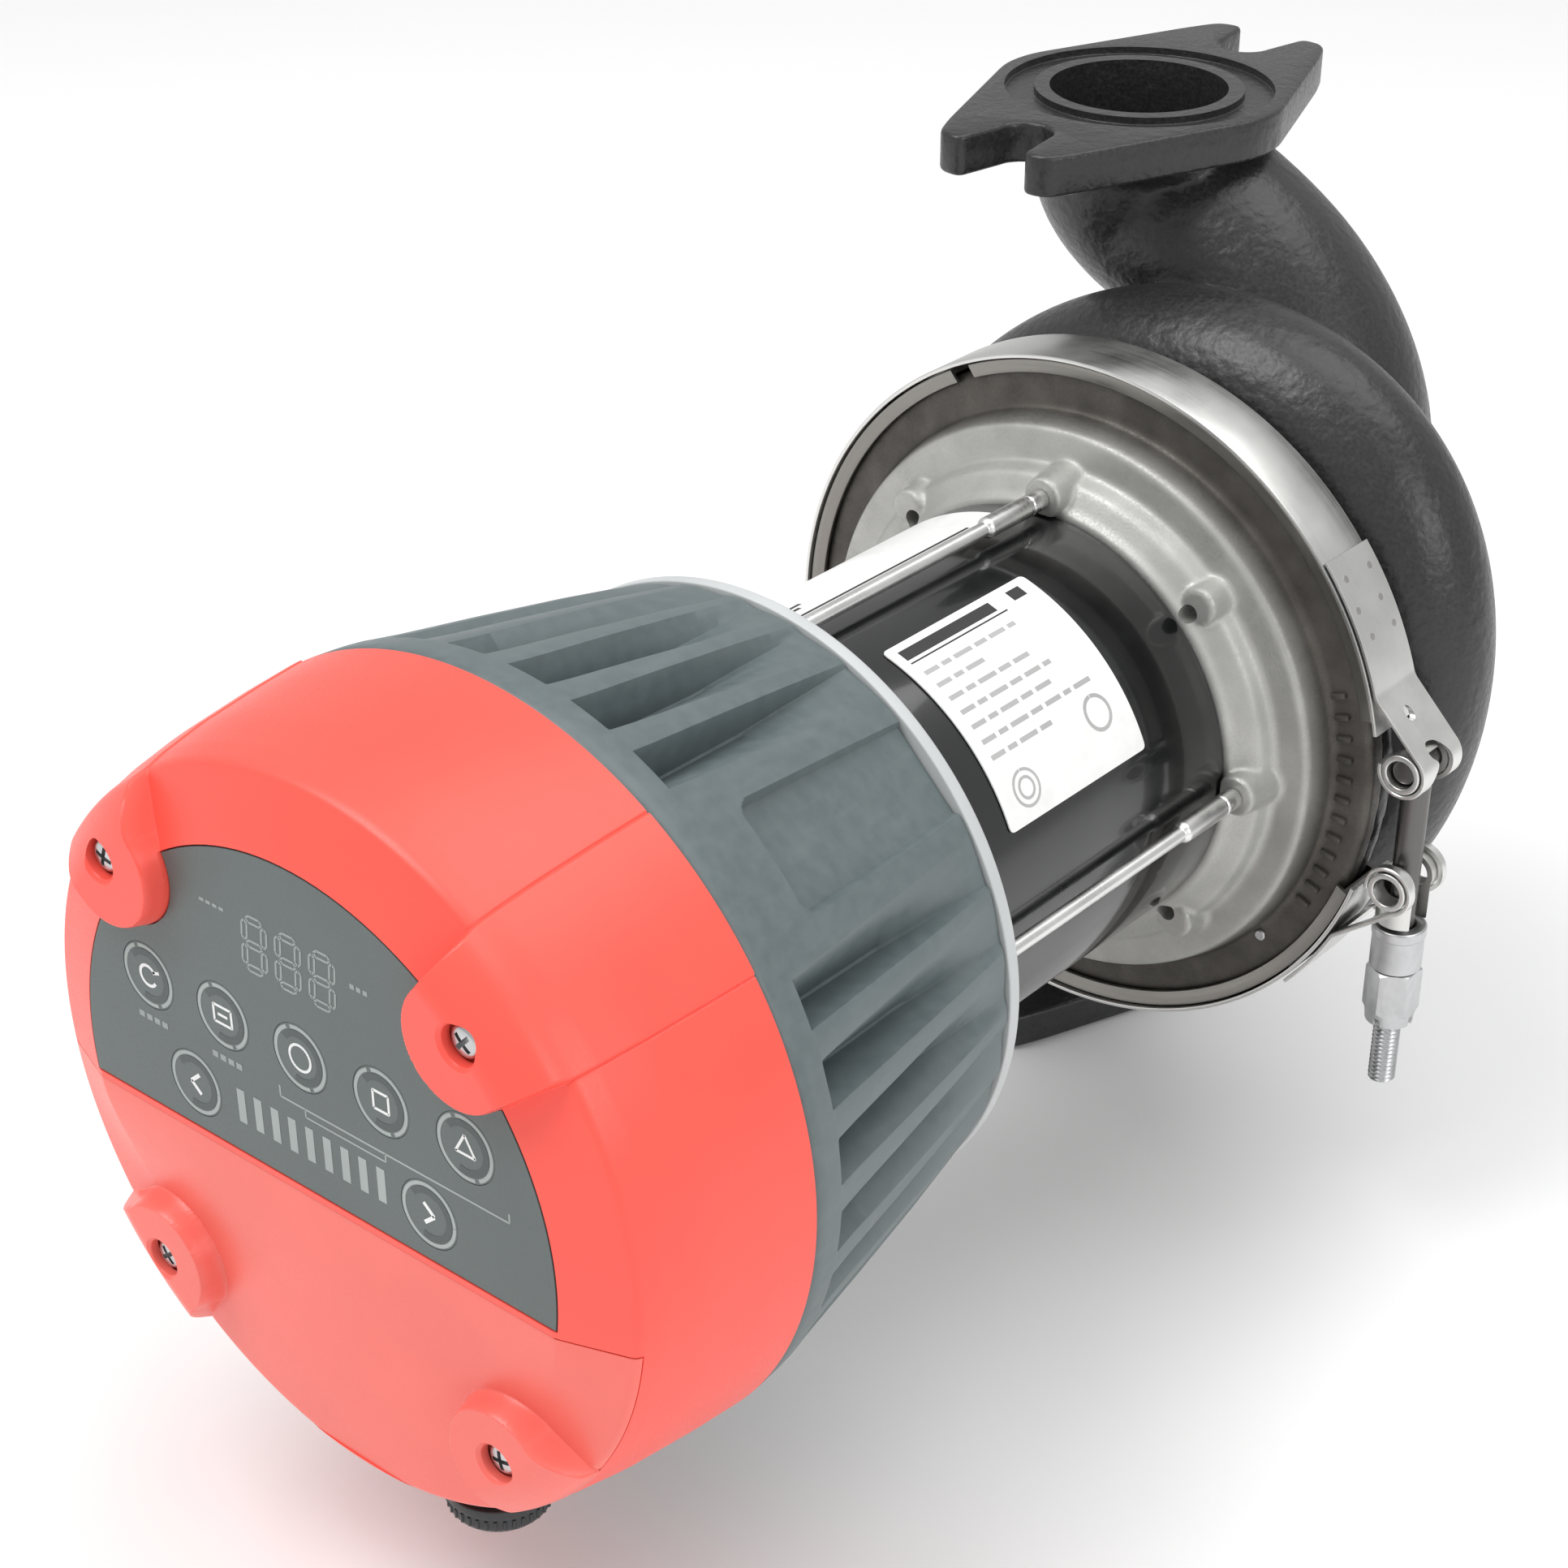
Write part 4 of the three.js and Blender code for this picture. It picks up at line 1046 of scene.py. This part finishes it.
def keypad():
    film = prism("keypad_sheet", panel_outline(0.15), FILM_FACE, FILM_FACE + 1.0)
    boolean(film, "DIFFERENCE", *key_holes(KEY_RADIUS + 0.03, FILM_FACE - 2, FILM_FACE + 3, 64))
    finished(film, FILM, "keypad_film", "keypad_overlay")
    scale = [-16.6 + 4.25 * k for k in range(9)]
    bars = [bar_outline(x, ARROW_Z - 2.9, x, ARROW_Z + 3.9, 1.9) for x in scale]
    wide = [(-6, 10.2, 47, 10.2), (-6, 10.2, -6, 12.4), (47, 10.2, 47, 12.0)]
    inner = [(0, 8.6, 19, 8.6), (0, 8.6, 0, 10.2), (19, 8.6, 19, 10.2)]
    brackets = [bar_outline(*line, 0.35) for line in wide] + [bar_outline(*line, 0.3) for line in inner]
    print_object("keypad_print", bars + brackets, PRINT, "pump_body")
    digits = [outline for x in (-8.6, -0.6, 7.4) for outline in digit_outlines(x, 38.4)]
    dashes = [(14.0 + 1.5 * k, 40.4, 1.0, 0.9) for k in range(3)]
    dashes += [(-21.5 + 1.6 * k, 42.4, 1.1, 0.6) for k in range(4)]
    dashes += [(x + 2.0 * k - 3.8, 11.5, 1.4, 1.2) for x in (-38, -19) for k in range(4)]
    captions = [bar_outline(x, z, x + length, z, width) for x, z, length, width in dashes]
    print_object("display_print", digits + captions, FAINT_PRINT, "pump_body")


def key_icon(name, x, z):
    """A plain sign for each key: a turning arrow, an input box, three shapes and two arrowheads."""
    if name in ("key_up", "key_down"):
        way = 1 if name == "key_up" else -1
        return [bar_outline(x - way * 1.1, z + rise, x + way * 1.2, z, 0.75) for rise in (2.0, -2.0)]
    if name == "key_auto":
        arrow = bar_outline(x + 1.3, z + 1.0, x + 3.0, z + 1.6, 0.6)
        return [annulus_outline(x, z, 2.3, 1.7, 30, 330, 30), arrow]
    if name == "key_input":
        box = rectangle(x - 2.2, z - 1.7, x + 2.2, z + 1.7)
        lines = [*zip(box, box[1:] + box[:1]), ((x - 1.2, z), (x + 1.2, z))]
        return [bar_outline(*a, *b, 0.5) for a, b in lines]
    sides, start = {"key_mode_a": (24, 0), "key_mode_b": (4, 45), "key_mode_c": (3, 90)}[name]
    corners = arc(2.5, start, start + 360, sides, (x, z))
    return [bar_outline(*a, *b, 0.5) for a, b in zip(corners, corners[1:])]


def keys():
    edge = KEY_RADIUS - 0.03
    corners = [(0, 0, 0), (edge - 0.1, 0, 0), (edge, 0.08, 0), (edge, 2.2, 0), (0, 2.2, 0)]
    for name, (x, z) in KEY_PLACES.items():
        cap = turned_along(f"{name}_cap", corners, (x, FILM_FACE, z), sides=96)
        finished(cap, FILM, "keypad_film", name, body=name)
        spans = [(0, 359)] if name in ("key_up", "key_down") else [(-62, 108), (118, 288)]
        rings = [annulus_outline(x, z, 6.15, 5.45, a, b) for a, b in spans]
        print_object(f"{name}_ring", rings, PRINT, name)
        # Painted shade: a dark crescent inside the ring, on one side of the key only.
        shadow = annulus_outline(x, z, 5.2, 3.9, -110, 140, 48)
        print_object(f"{name}_shadow", [shadow], FILM_PAINTED_SHADE, name)
        print_object(f"{name}_icon", key_icon(name, x, z), ICON, name, FILM_FACE - 0.01)


# ---- Pump cover ----

COVER_LINE = [
    (33.4, -26.4, 0), (47.6, -26.4, 0.6), (48.2, -25.2, 0.6), (52.4, -22.6, 0.8), (53.6, -18.8, 0.9),
    (59.9, -18.5, 0.2), (60.8, -17.9, 0.3), (62.4, -11.6, 1.0), (69.6, -11, 0.2), (71, -10.2, 0.3),
    (71, -6.5, 0.4), (61.7, -6.5, 0), (61.7, -4.3, 0), (58.6, -4.3, 0), (58.6, -0.5, 0.4),
    (55.5, -0.5, 0.4), (55.5, -13, 1), (37, -13, 1), (37, -0.5, 1), (14, -0.5, 1), (14, -19.2, 0),
    (33.4, -19.2, 0),
]
ROD_BOSS = [(0, -28.4, 0), (4.3, -28.4, 0.8), (5.0, -18.5, 2), (7.0, -15.5, 0), (0, -15.5, 0)]
LUG = [(0, -25.2, 0), (3.8, -25.2, 0.7), (4.2, -19.5, 1.5), (5.6, -16.5, 0), (0, -16.5, 0)]
LUG_CIRCLE, LUG_HOLE_CIRCLE = 51.4, 48.9


def pump_cover():
    solids = [turned("cover_body", softened(COVER_LINE), 200)]
    cuts = [rod("seat", MOTOR_RADIUS + 0.4, (0, -40, 0), (0, -26.4, 0), 160)]
    for angle in QUARTERS:
        solids.append(rotated(turned_along("boss", ROD_BOSS, (ROD_CIRCLE, 0, 0)), angle))
        hole = rod("rod_hole", ROD_RADIUS + 0.3, (ROD_CIRCLE, -30, 0), (ROD_CIRCLE, -17.5, 0), 40)
        cuts.append(rotated(hole, angle))
    for angle in DIAGONALS:
        solids.append(rotated(turned_along("lug", LUG, (LUG_CIRCLE, 0, 0)), angle))
        hole = rod("lug_hole", 1.9, (LUG_HOLE_CIRCLE, -28, 0), (LUG_HOLE_CIRCLE, -20, 0), 32)
        cuts.append(rotated(hole, angle))
    cover = fused("cover_casting", solids, 0.6, 2)
    boolean(cover, "DIFFERENCE", *cuts)
    finished(cover, ALUMINIUM, "aluminium_casting", "pump_cover")


def cover_details():
    """Short cast ribs in the cover's channel, and a rivet."""
    ribs = []
    for step in range(12):
        rib = prism("rib", rectangle(63.6, -0.55, 67.0, 0.55), -12.3, -11.0, bevel=0.3, segments=2)
        ribs.append(rotated(rib, -26 + 4.0 * step))
    finished(merged("cover_cast_ribs", *ribs), ALUMINIUM, "aluminium_casting")
    button = [(0, 0, 0), (1.3, 0, 0.5), (1.3, 1.2, 0), (0, 1.2, 0)]
    rivet = turned_along("cover_rivet", button, (49.6, -12.3, -40.6), sides=32)
    finished(rivet, ZINC, "aluminium_casting")


# ---- Clamp band ----

BAND_OUTSIDE, BAND_INSIDE, LOOP_CIRCLE, LOOP_CURL, LOOP_THICKNESS = 74.0, 73.1, 74.85, 4.95, 0.9
BAND = [(r, y, 0.3) for r, y in rectangle(BAND_OUTSIDE, CLAMP_FRONT, BAND_INSIDE, CLAMP_BACK)]
RETAINER = [
    (72.8, -13.0, 0.5), (72.8, 0.2, 0.5), (66.6, -0.3, 0.3), (66.6, -1.3, 0.3),
    (71.6, -1.0, 0.5), (71.6, -11.9, 0.4), (69.7, -11.3, 0.2), (69.7, -12.2, 0.2),
]
SPOT_WELDS = [(36.5, -4.5), (36.5, 4.0), (31.5, -5.0), (31.5, 3.2), (27.0, -3.6), (27.0, 4.4)]


def clamp():
    band = turned("clamp_band", softened(BAND, steps=2), 300, 12, 332)
    finished(band, STRIP, "stainless", "clamp_strap")
    for number, (start, end) in enumerate([(14, 115), (119, 230), (234, 342)], 1):
        sweep = end - start
        segment = turned(f"clamp_segment_{number}", softened(RETAINER), sweep, start, sweep)
        # The darker stainless of the segments is painted shade.
        finished(segment, SHADED_RETAINER_STEEL, "stainless", f"clamp_retainer_{number}")


def ribbon(name, line):
    """A strip as wide as the clamp band that follows a line of (x, z) points, with soft edges."""
    points = np.array(line, float)
    along = np.gradient(points, axis=0)
    along /= np.linalg.norm(along, axis=1)[:, None]
    side = np.stack([-along[:, 1], along[:, 0]], axis=1) * LOOP_THICKNESS / 2
    front, front_edge, back_edge, back = CLAMP_FRONT, CLAMP_FRONT + 0.22, CLAMP_BACK - 0.22, CLAMP_BACK
    section = [
        (1, front_edge), (1, back_edge), (0.5, back), (-0.5, back),
        (-1, back_edge), (-1, front_edge), (-0.5, front), (0.5, front),
    ]
    vertices = []
    for centre, offset in zip(points, side):
        vertices += [(centre[0] + offset[0] * s, y, centre[1] + offset[1] * s) for s, y in section]
    return capped_tube(name, vertices, len(points), len(section))


def loop_line(centre_z, plate_from, plate_to, curl_from, curl_to):
    """Along the band, and then round the latch barrel."""
    plate = arc(LOOP_CIRCLE, plate_from, plate_to, 12)
    bend = arc(LOOP_CURL, curl_from, curl_to, 40, (LATCH_X, centre_z))
    corner = [(*plate[-2], 0), (*plate[-1], 2.2), (*bend[0], 0.8), (*bend[1], 0)]
    return plate[:-2] + softened(corner, closed=False, steps=5) + bend[2:]


def strap_loops():
    upper = ribbon("band_loop_upper", loop_line(LATCH_UPPER, 40, 18, 40, -190))
    stem = [
        (3.6, -6, 0), (3.6, 11.5, 1.5), (1.0, 14.6, 2.4), (-2.6, 15.0, 2.4),
        (-3.4, 12.8, 1.6), (-1.2, 11.2, 1.0), (-3.6, 8.0, 1.5), (-3.6, -6, 0),
    ]
    slot = prism("slot", [(CLAMP_MIDDLE + y, z) for y, z in softened(stem)], 71.5, 90, "x")
    hole = rod("hole", 1.25, (64, CLAMP_MIDDLE - 1.2, 19.4), (90, CLAMP_MIDDLE - 1.2, 19.4), 40)
    boolean(upper, "DIFFERENCE", slot, hole)
    finished(upper, STRIP, "stainless", "strap_loop_upper")
    lower = ribbon("band_loop_lower", loop_line(LATCH_LOWER, -40, -26, -70, 190))
    opening = rectangle(CLAMP_MIDDLE - 5.4, -39, CLAMP_MIDDLE + 5.4, -9)
    boolean(lower, "DIFFERENCE", prism("slot", opening, 69.6, 93.5, "x"))
    finished(lower, STRIP, "stainless", "strap_loop_lower")


def spot_welds():
    dimple = [(0, 0.12, 0), (0.75, 0.12, 0.1), (0.95, 0.3, 0), (0, 0.3, 0)]
    welds = []
    for angle, offset in SPOT_WELDS:
        x, z = spot(LOOP_CIRCLE + 0.59, angle)
        welds.append(turned_along("weld", dimple, (x, CLAMP_MIDDLE + offset, z), (-x, 0, -z), 24))
    finished(merged("band_spot_welds", *welds), WELD, "stainless")


# ---- Latch ----

def on_latch(z, along=0.0):
    """A point of the latch bolt's line, or beside it along the rotor axis."""
    return LATCH_X, CLAMP_MIDDLE + along, z


def barrel(name, z):
    """A hollow cross barrel of the latch with rounded mouths."""
    wall = [(3.0, 0, 0.3), (4.2, 0, 0.35), (4.2, 15.3, 0.35), (3.0, 15.3, 0.3)]
    return turned_along(name, wall, (LATCH_X, CLAMP_FRONT - 0.3, z), sides=72)


def mouth(half, low, high):
    """The gap in a barrel that lets the bolt through."""
    outline = rectangle(LATCH_X - 3.4, low, LATCH_X + 9, high)
    return prism("mouth", outline, CLAMP_MIDDLE - half, CLAMP_MIDDLE + half)


def latch_barrels():
    upper = boolean(barrel("latch_barrel_upper", LATCH_UPPER), "DIFFERENCE", mouth(3.5, 2.5, 12.5))
    finished(upper, STRIP, "stainless", "trunnion_upper")
    neck_corners = [(0, -1, 0), (5.2, -1, 1.0), (5.2, 9.7, 0.5), (0, 9.7, 0)]
    neck = turned_along("neck", neck_corners, on_latch(LATCH_LOWER), DOWN, 72)
    bore = rod("bore", 3.0, on_latch(LATCH_LOWER, -9.35), on_latch(LATCH_LOWER, 9.35), 72)
    lower = boolean(barrel("latch_barrel_lower", LATCH_LOWER), "UNION", neck)
    boolean(lower, "DIFFERENCE", bore, mouth(3.4, LATCH_LOWER - 15, LATCH_LOWER + 15))
    finished(lower, STRIP, "stainless", "trunnion_lower")


def latch_collar():
    corners = [
        (3.2, 0, 0.3), (5.6, 0, 0.5), (5.6, 2.2, 0.2), (5.35, 2.5, 0.1), (5.35, 10, 0.3), (3.2, 10, 0.3),
    ]
    sleeve = turned_along("latch_collar", corners, on_latch(-28.3), DOWN, 80)
    finished(sleeve, ZINC, "zinc_plated_steel", "latch_sleeve", body="latch_sleeve")


def hexagon(radius, turn=0.0, centre=(0.0, 0.0)):
    return arc(radius, turn, turn + 360, 6, centre)[:-1]


def latch_nut():
    """A hexagon nut with a turned crown and two crossed slots in its end."""
    top, bottom, slot_top = -38.6, -51.5, -49.6
    nut = prism("latch_hex_nut", hexagon(5.77, 30, (LATCH_X, CLAMP_MIDDLE)), bottom, top, "z")
    crown = [
        (0, 0, 0), (5.0, 0, 0), (5.95, 0.7, 0), (5.95, 9.4, 0), (5.2, 10.2, 0.4), (4.9, 13.4, 0.6),
        (0, 13.4, 0),
    ]
    boolean(nut, "INTERSECT", turned_along("crown", crown, on_latch(top), DOWN, 96))
    cuts = [rod("bore", 3.15, on_latch(-30), on_latch(-60), 64)]
    for u, v in ((7, 0.7), (0.7, 7)):
        outline = rectangle(LATCH_X - u, CLAMP_MIDDLE - v, LATCH_X + u, CLAMP_MIDDLE + v)
        cuts.append(prism("notch", outline, bottom - 1.5, slot_top, "z"))
    boolean(nut, "DIFFERENCE", *cuts)
    bevelled(nut, 0.18, 2)
    finished(nut, ZINC, "zinc_plated_steel", "latch_nut", body="latch_nut")


def latch_bolt():
    """A dark T-headed bolt whose lower end carries a real helical thread."""
    top, bottom, radius, pitch, depth, sides = -29.0, -67.0, 2.9, 1.0, 0.42, 48
    rows = np.arange(top, bottom + 0.01, -pitch / 8)
    vertices = []
    for z in rows:
        fade = float(smoothstep(0, 1.5, top - z))
        tip = 0.7 * float(smoothstep(-66.2, bottom, z))
        for k in range(sides):
            phase = (z / pitch - k / sides) % 1.0
            r = radius - tip - depth * fade * (1 - abs(2 * phase - 1))
            u, v = spot(r, 360 * k / sides)
            vertices.append((LATCH_X + u, CLAMP_MIDDLE + v, z))
    thread = capped_tube("latch_bolt_thread", vertices, len(rows), sides, 50)
    finished(thread, ZINC, "zinc_plated_steel", body="t_bolt")
    shank = rod("latch_bolt_shank", radius, on_latch(LATCH_UPPER), on_latch(top), 64)
    head = rod("head", 2.6, on_latch(LATCH_UPPER, -6.2), on_latch(LATCH_UPPER, 6.2), 64, 0.5)
    boolean(shank, "UNION", head)
    finished(shank, DARK_STEEL, "zinc_plated_steel", "t_bolt", body="t_bolt")


# ---- Motor ----

def motor():
    inside = MOTOR_RADIUS - 1.5
    can = turned("motor_can", softened([
        (8, MOTOR_FRONT, 0.3), (MOTOR_RADIUS, MOTOR_FRONT, 2.0), (MOTOR_RADIUS, MOTOR_BACK, 0.3),
        (inside, MOTOR_BACK, 0.3), (inside, MOTOR_FRONT + 1.5, 1.0), (8, MOTOR_FRONT + 1.5, 0.3),
    ]), 200)
    finished(can, ENAMEL, "black_enamel", "stator_housing")
    for number, angle in enumerate(QUARTERS, 1):
        tie_rod(number, angle)


def tie_rod(number, angle):
    """A long rod with a hexagon head in front and a grooved sleeve at the pump cover."""
    corners = [
        (0, ROD_FRONT, 0), (ROD_RADIUS, ROD_FRONT, 0), (ROD_RADIUS, -47.4, 0.3), (1.85, -47.0, 0.2),
        (2.2, -46.4, 0.3), (2.2, -34.0, 0.2), (2.0, -33.7, 0.1), (2.0, -33.0, 0.1), (2.2, -32.7, 0.2),
        (2.2, -28.5, 0.3), (ROD_RADIUS, -28.5, 0), (ROD_RADIUS, ROD_BACK, 0.3), (0, ROD_BACK, 0),
    ]
    bar = turned_along(f"motor_rod_{number}", corners, (ROD_CIRCLE, 0, 0), sides=48, steps=3)
    head = prism("head", hexagon(2.9, centre=(ROD_CIRCLE, 0)), ROD_FRONT, ROD_FRONT + 3, bevel=0.3)
    bar = rotated(merged(f"motor_rod_{number}", bar, head), angle)
    finished(bar, ROD_STEEL, "zinc_plated_steel", f"tie_rod_{number}")


LABEL_INSIDE, LABEL_OUTSIDE, PRINT_INSIDE, PRINT_OUTSIDE = 46.7, 47.0, 46.95, 47.03


def wrapped(name, start, end, front, back, inner, outer, corner=0.0):
    """A thin patch wrapped on the motor: from one angle to another, and from front to back along y."""
    arc_length = math.radians(end - start) * outer
    flat = softened([(u, v, corner) for u, v in rectangle(0, front, arc_length, back)])
    made = prism(name, flat, 0, 1, "z")
    work = bmesh.new()
    work.from_mesh(made.data)
    cuts = max(1, int(abs(end - start) / 1.5))
    for k in range(1, cuts):
        across = DATUM.x + arc_length * k / cuts * MM
        everything = work.verts[:] + work.edges[:] + work.faces[:]
        bmesh.ops.bisect_plane(work, geom=everything, plane_co=(across, 0, 0), plane_no=(1, 0, 0))
    for vertex in work.verts:
        along, y, level = (vertex.co - DATUM) / MM
        x, z = spot(inner + (outer - inner) * level, start + math.degrees(along / outer))
        vertex.co = Vector((x, y, z)) * MM + DATUM
    bmesh.ops.recalc_face_normals(work, faces=work.faces)
    work.to_mesh(made.data)
    work.free()
    shade(made.data)
    return made


def mark(angle, y0, y1, height):
    """A printed line on a motor label. It runs along y and is height tall."""
    half = math.degrees(height / LABEL_OUTSIDE) / 2
    return wrapped("mark", angle - half, angle + half, y0, y1, PRINT_INSIDE, PRINT_OUTSIDE)


def ring_mark(angle, y, outer, inner):
    """A plain printed ring on a motor label."""
    outline = annulus_outline(0, 0, outer, inner, 0, 357, 48)
    made = prism("mark", outline, PRINT_INSIDE, PRINT_OUTSIDE, "z")
    for vertex in made.data.vertices:
        u, v, radius = (vertex.co - DATUM) / MM
        x, z = spot(radius, angle + math.degrees(u / LABEL_OUTSIDE))
        vertex.co = Vector((x, y + v, z)) * MM + DATUM
    return made


LINE_ENDS = [-60, -74, -66, -58, -64, -56, -70]
WORD_LENGTHS = [4.0, 2.6, 5.2, 3.4, 4.6, 2.2, 5.0, 3.0]


def word_marks(angle, start, end):
    """One printed line: short bars in place of words."""
    marks = []
    for word in WORD_LENGTHS:
        if start + word > end:
            break
        marks.append(mark(angle, start, start + word, 1.0))
        start += word + 1.1
    return marks


def labels():
    plate = wrapped("motor_nameplate", 23, 75, -94, -51, LABEL_INSIDE, LABEL_OUTSIDE, 1.2)
    finished(plate, PAPER, "label_paper", "nameplate")
    side = wrapped("motor_rating_label", 96, 168, -100, -33, LABEL_INSIDE, LABEL_OUTSIDE, 1.2)
    finished(side, PAPER, "label_paper", "rating_label")
    bold = [
        (71.3, -91.5, -64, 2.6), (68.6, -91.5, -62, 0.35), (71.3, -58.5, -54.5, 2.6),
        (99.5, -98, -42, 0.7), (103.5, -97, -90, 0.9), (105.6, -97, -88, 0.9),
    ]
    bold_marks = [mark(*line) for line in bold]
    finished(merged("label_bold_print", *bold_marks), INK, "label_paper")
    faint = []
    for row, end in enumerate(LINE_ENDS):
        faint += word_marks(64.8 - 4.1 * row, -91, end)
    rings = [(30.5, -86, 3.8, 3.2), (30.5, -86, 2.3, 1.7), (36.5, -60, 3.8, 3.0)]
    faint += [ring_mark(*ring) for ring in rings]
    finished(merged("label_faint_print", *faint), FAINT_INK, "label_paper")


# ---- Fasteners of the covers and the cable gland ----

SCREW = [
    (0, 1.4, 0), (1.4, 1.45, 0.6), (2.7, 1.75, 0.7), (3.2, 2.6, 0.5), (3.2, 3.7, 0), (1.7, 3.7, 0),
    (1.7, 22, 0.5), (0, 22, 0),
]


def cross_outline(x, z, long, narrow, degrees):
    """A plus sign round a point, turned by some degrees."""
    arm = [(-narrow, -long), (narrow, -long), (narrow, -narrow)]
    outline = []
    for quarter in QUARTERS:
        c, s = spot(1.0, quarter + degrees)
        outline += [(x + u * c - v * s, z + u * s + v * c) for u, v in arm]
    return outline


def cover_screws():
    ears = [(EAR_UPPER_Z, EAR_UPPER_FACE), (EAR_LOWER_Z, EAR_LOWER_FACE)]
    places = [(x, face, z) for z, face in ears for x in (EAR_X, -EAR_X)]
    for number, (x, face, z) in enumerate(places, 1):
        screw = turned_along(f"lid_screw_{number}", SCREW, (x, face, z), sides=56)
        cross = cross_outline(x, z, 1.9, 0.42, 20 + 27 * number)
        boolean(screw, "DIFFERENCE", prism("cross", cross, face, face + 2.9))
        finished(screw, ZINC, "zinc_plated_steel", f"cover_screw_{number}")


def gland():
    at = (GLAND_X, GLAND_Y, 0)
    body_corners = [
        (6.2, 62, 0), (8.4, 62, 0.4), (8.4, 74.2, 0), (10.2, 74.2, 0.4), (10.2, 76.3, 0.4), (6.2, 76.3, 0),
    ]
    body = turned_along("cable_gland_body", body_corners, at, DOWN, 96)
    finished(body, BLACK, "black_plastic", "gland_body")
    cap = [
        (4.6, 80.6, 0.5), (8.4, 80.6, 1.6), (9.6, 79.2, 0.6), (9.6, 76.6, 0.2), (6.2, 76.6, 0), (6.2, 79, 0),
        (4.6, 79, 0),
    ]
    nut = turned_along("cable_gland_nut", cap, at, DOWN, 144)
    grips = []
    for x, y in arc(9.55, 0, 350, 35, (GLAND_X, GLAND_Y)):
        grips.append(rod("grip", 0.36, (x, y, -79.0), (x, y, -77.0), 12, 0.15))
    finished(merged("cable_gland_nut", nut, *grips), BLACK, "black_plastic", "gland_nut")
    seal_corners = [(3.5, 71, 0), (5.6, 71, 0), (5.6, 78.9, 0), (3.5, 78.9, 0.6)]
    seal = turned_along("cable_gland_seal", seal_corners, at, DOWN, 64)
    finished(seal, RUBBER, "rubber", "gland_seal")


# ---- Stage ----

def stage():
    bpy.ops.mesh.primitive_plane_add(size=8, location=(0, 0, cad_box[0].z - 0.0005))
    floor = bpy.context.object
    floor.name = "floor"
    s = Shader("floor_paint", (0.93, 0.93, 0.93), 0.75)
    floor.data.materials.append(s.material)
    world = bpy.data.worlds.new("studio")
    world.use_nodes = True
    background = world.node_tree.nodes["Background"]
    background.inputs["Color"].default_value = (1.0, 1.0, 1.0, 1.0)
    background.inputs["Strength"].default_value = 0.62
    bpy.context.scene.world = world
    lamps = {
        "key": ((-0.4, -0.7, 1.4), 0.9, 14.0),
        "top": ((0.3, 0.4, 1.5), 1.2, 10.0),
        "side": ((1.5, -0.2, 0.7), 0.7, 5.0),
    }
    for name, (place, size, power) in lamps.items():
        lamp = bpy.data.lights.new(name, "AREA")
        lamp.size = size
        lamp.energy = power
        holder = bpy.data.objects.new(name, lamp)
        holder.location = place
        holder.rotation_mode = "QUATERNION"
        holder.rotation_quaternion = (-Vector(place)).to_track_quat("-Z", "Y")
        bpy.context.scene.collection.objects.link(holder)


def camera():
    """From the right, above and in front, through a 70 mm lens."""
    azimuth, elevation = math.radians(40.19), math.radians(31.69)
    level = math.cos(elevation)
    back = Vector((math.sin(azimuth) * level, -math.cos(azimuth) * level, math.sin(elevation)))
    data = bpy.data.cameras.new("camera")
    data.lens = 69.96
    data.sensor_width = 36.0
    data.shift_x = -0.0081
    data.shift_y = 0.0732
    data.clip_start = 0.01
    data.clip_end = 50.0
    holder = bpy.data.objects.new("camera", data)
    holder.location = Vector((323.95, -487.4, 301.87)) * MM + DATUM
    holder.rotation_mode = "QUATERNION"
    holder.rotation_quaternion = (-back).to_track_quat("-Z", "Y")
    bpy.context.scene.collection.objects.link(holder)
    bpy.context.scene.camera = holder


CAD_MATERIALS = {
    "cast_iron": CAST, "aluminium_casting": ALUMINIUM, "stainless": STRIP, "zinc_plated_steel": ZINC,
    "black_enamel": ENAMEL, "rubber": RUBBER, "lamination_steel": LAMINATION, "copper_winding": COPPER,
    "ceramic": CERAMIC, "carbon_graphite": CARBON, "grey_plastic": GREY, "pale_grey_plastic": PALE,
    "red_plastic": RED, "keypad_film": FILM, "circuit_board": BOARD, "black_plastic": BLACK,
    "label_paper": PAPER,
}


def dress_cad_nodes():
    """Every CAD node that stays gets the material of its slot."""
    for part in frame["record"]["subparts"]:
        node = frame["nodes"][part["node"]]
        node.data.materials.clear()
        node.data.materials.append(CAD_MATERIALS[part["material_slot"]])


bpy.context.scene.view_settings.view_transform = "Standard"
dress_cad_nodes()
volute()
drive_housing()
neck_ring()
pump_cover()
cover_details()
clamp()
strap_loops()
spot_welds()
latch_barrels()
latch_bolt()
latch_collar()
latch_nut()
motor()
labels()
control_cover()
terminal_cover()
cover_screws()
gland()
keypad()
keys()
stage()
camera()
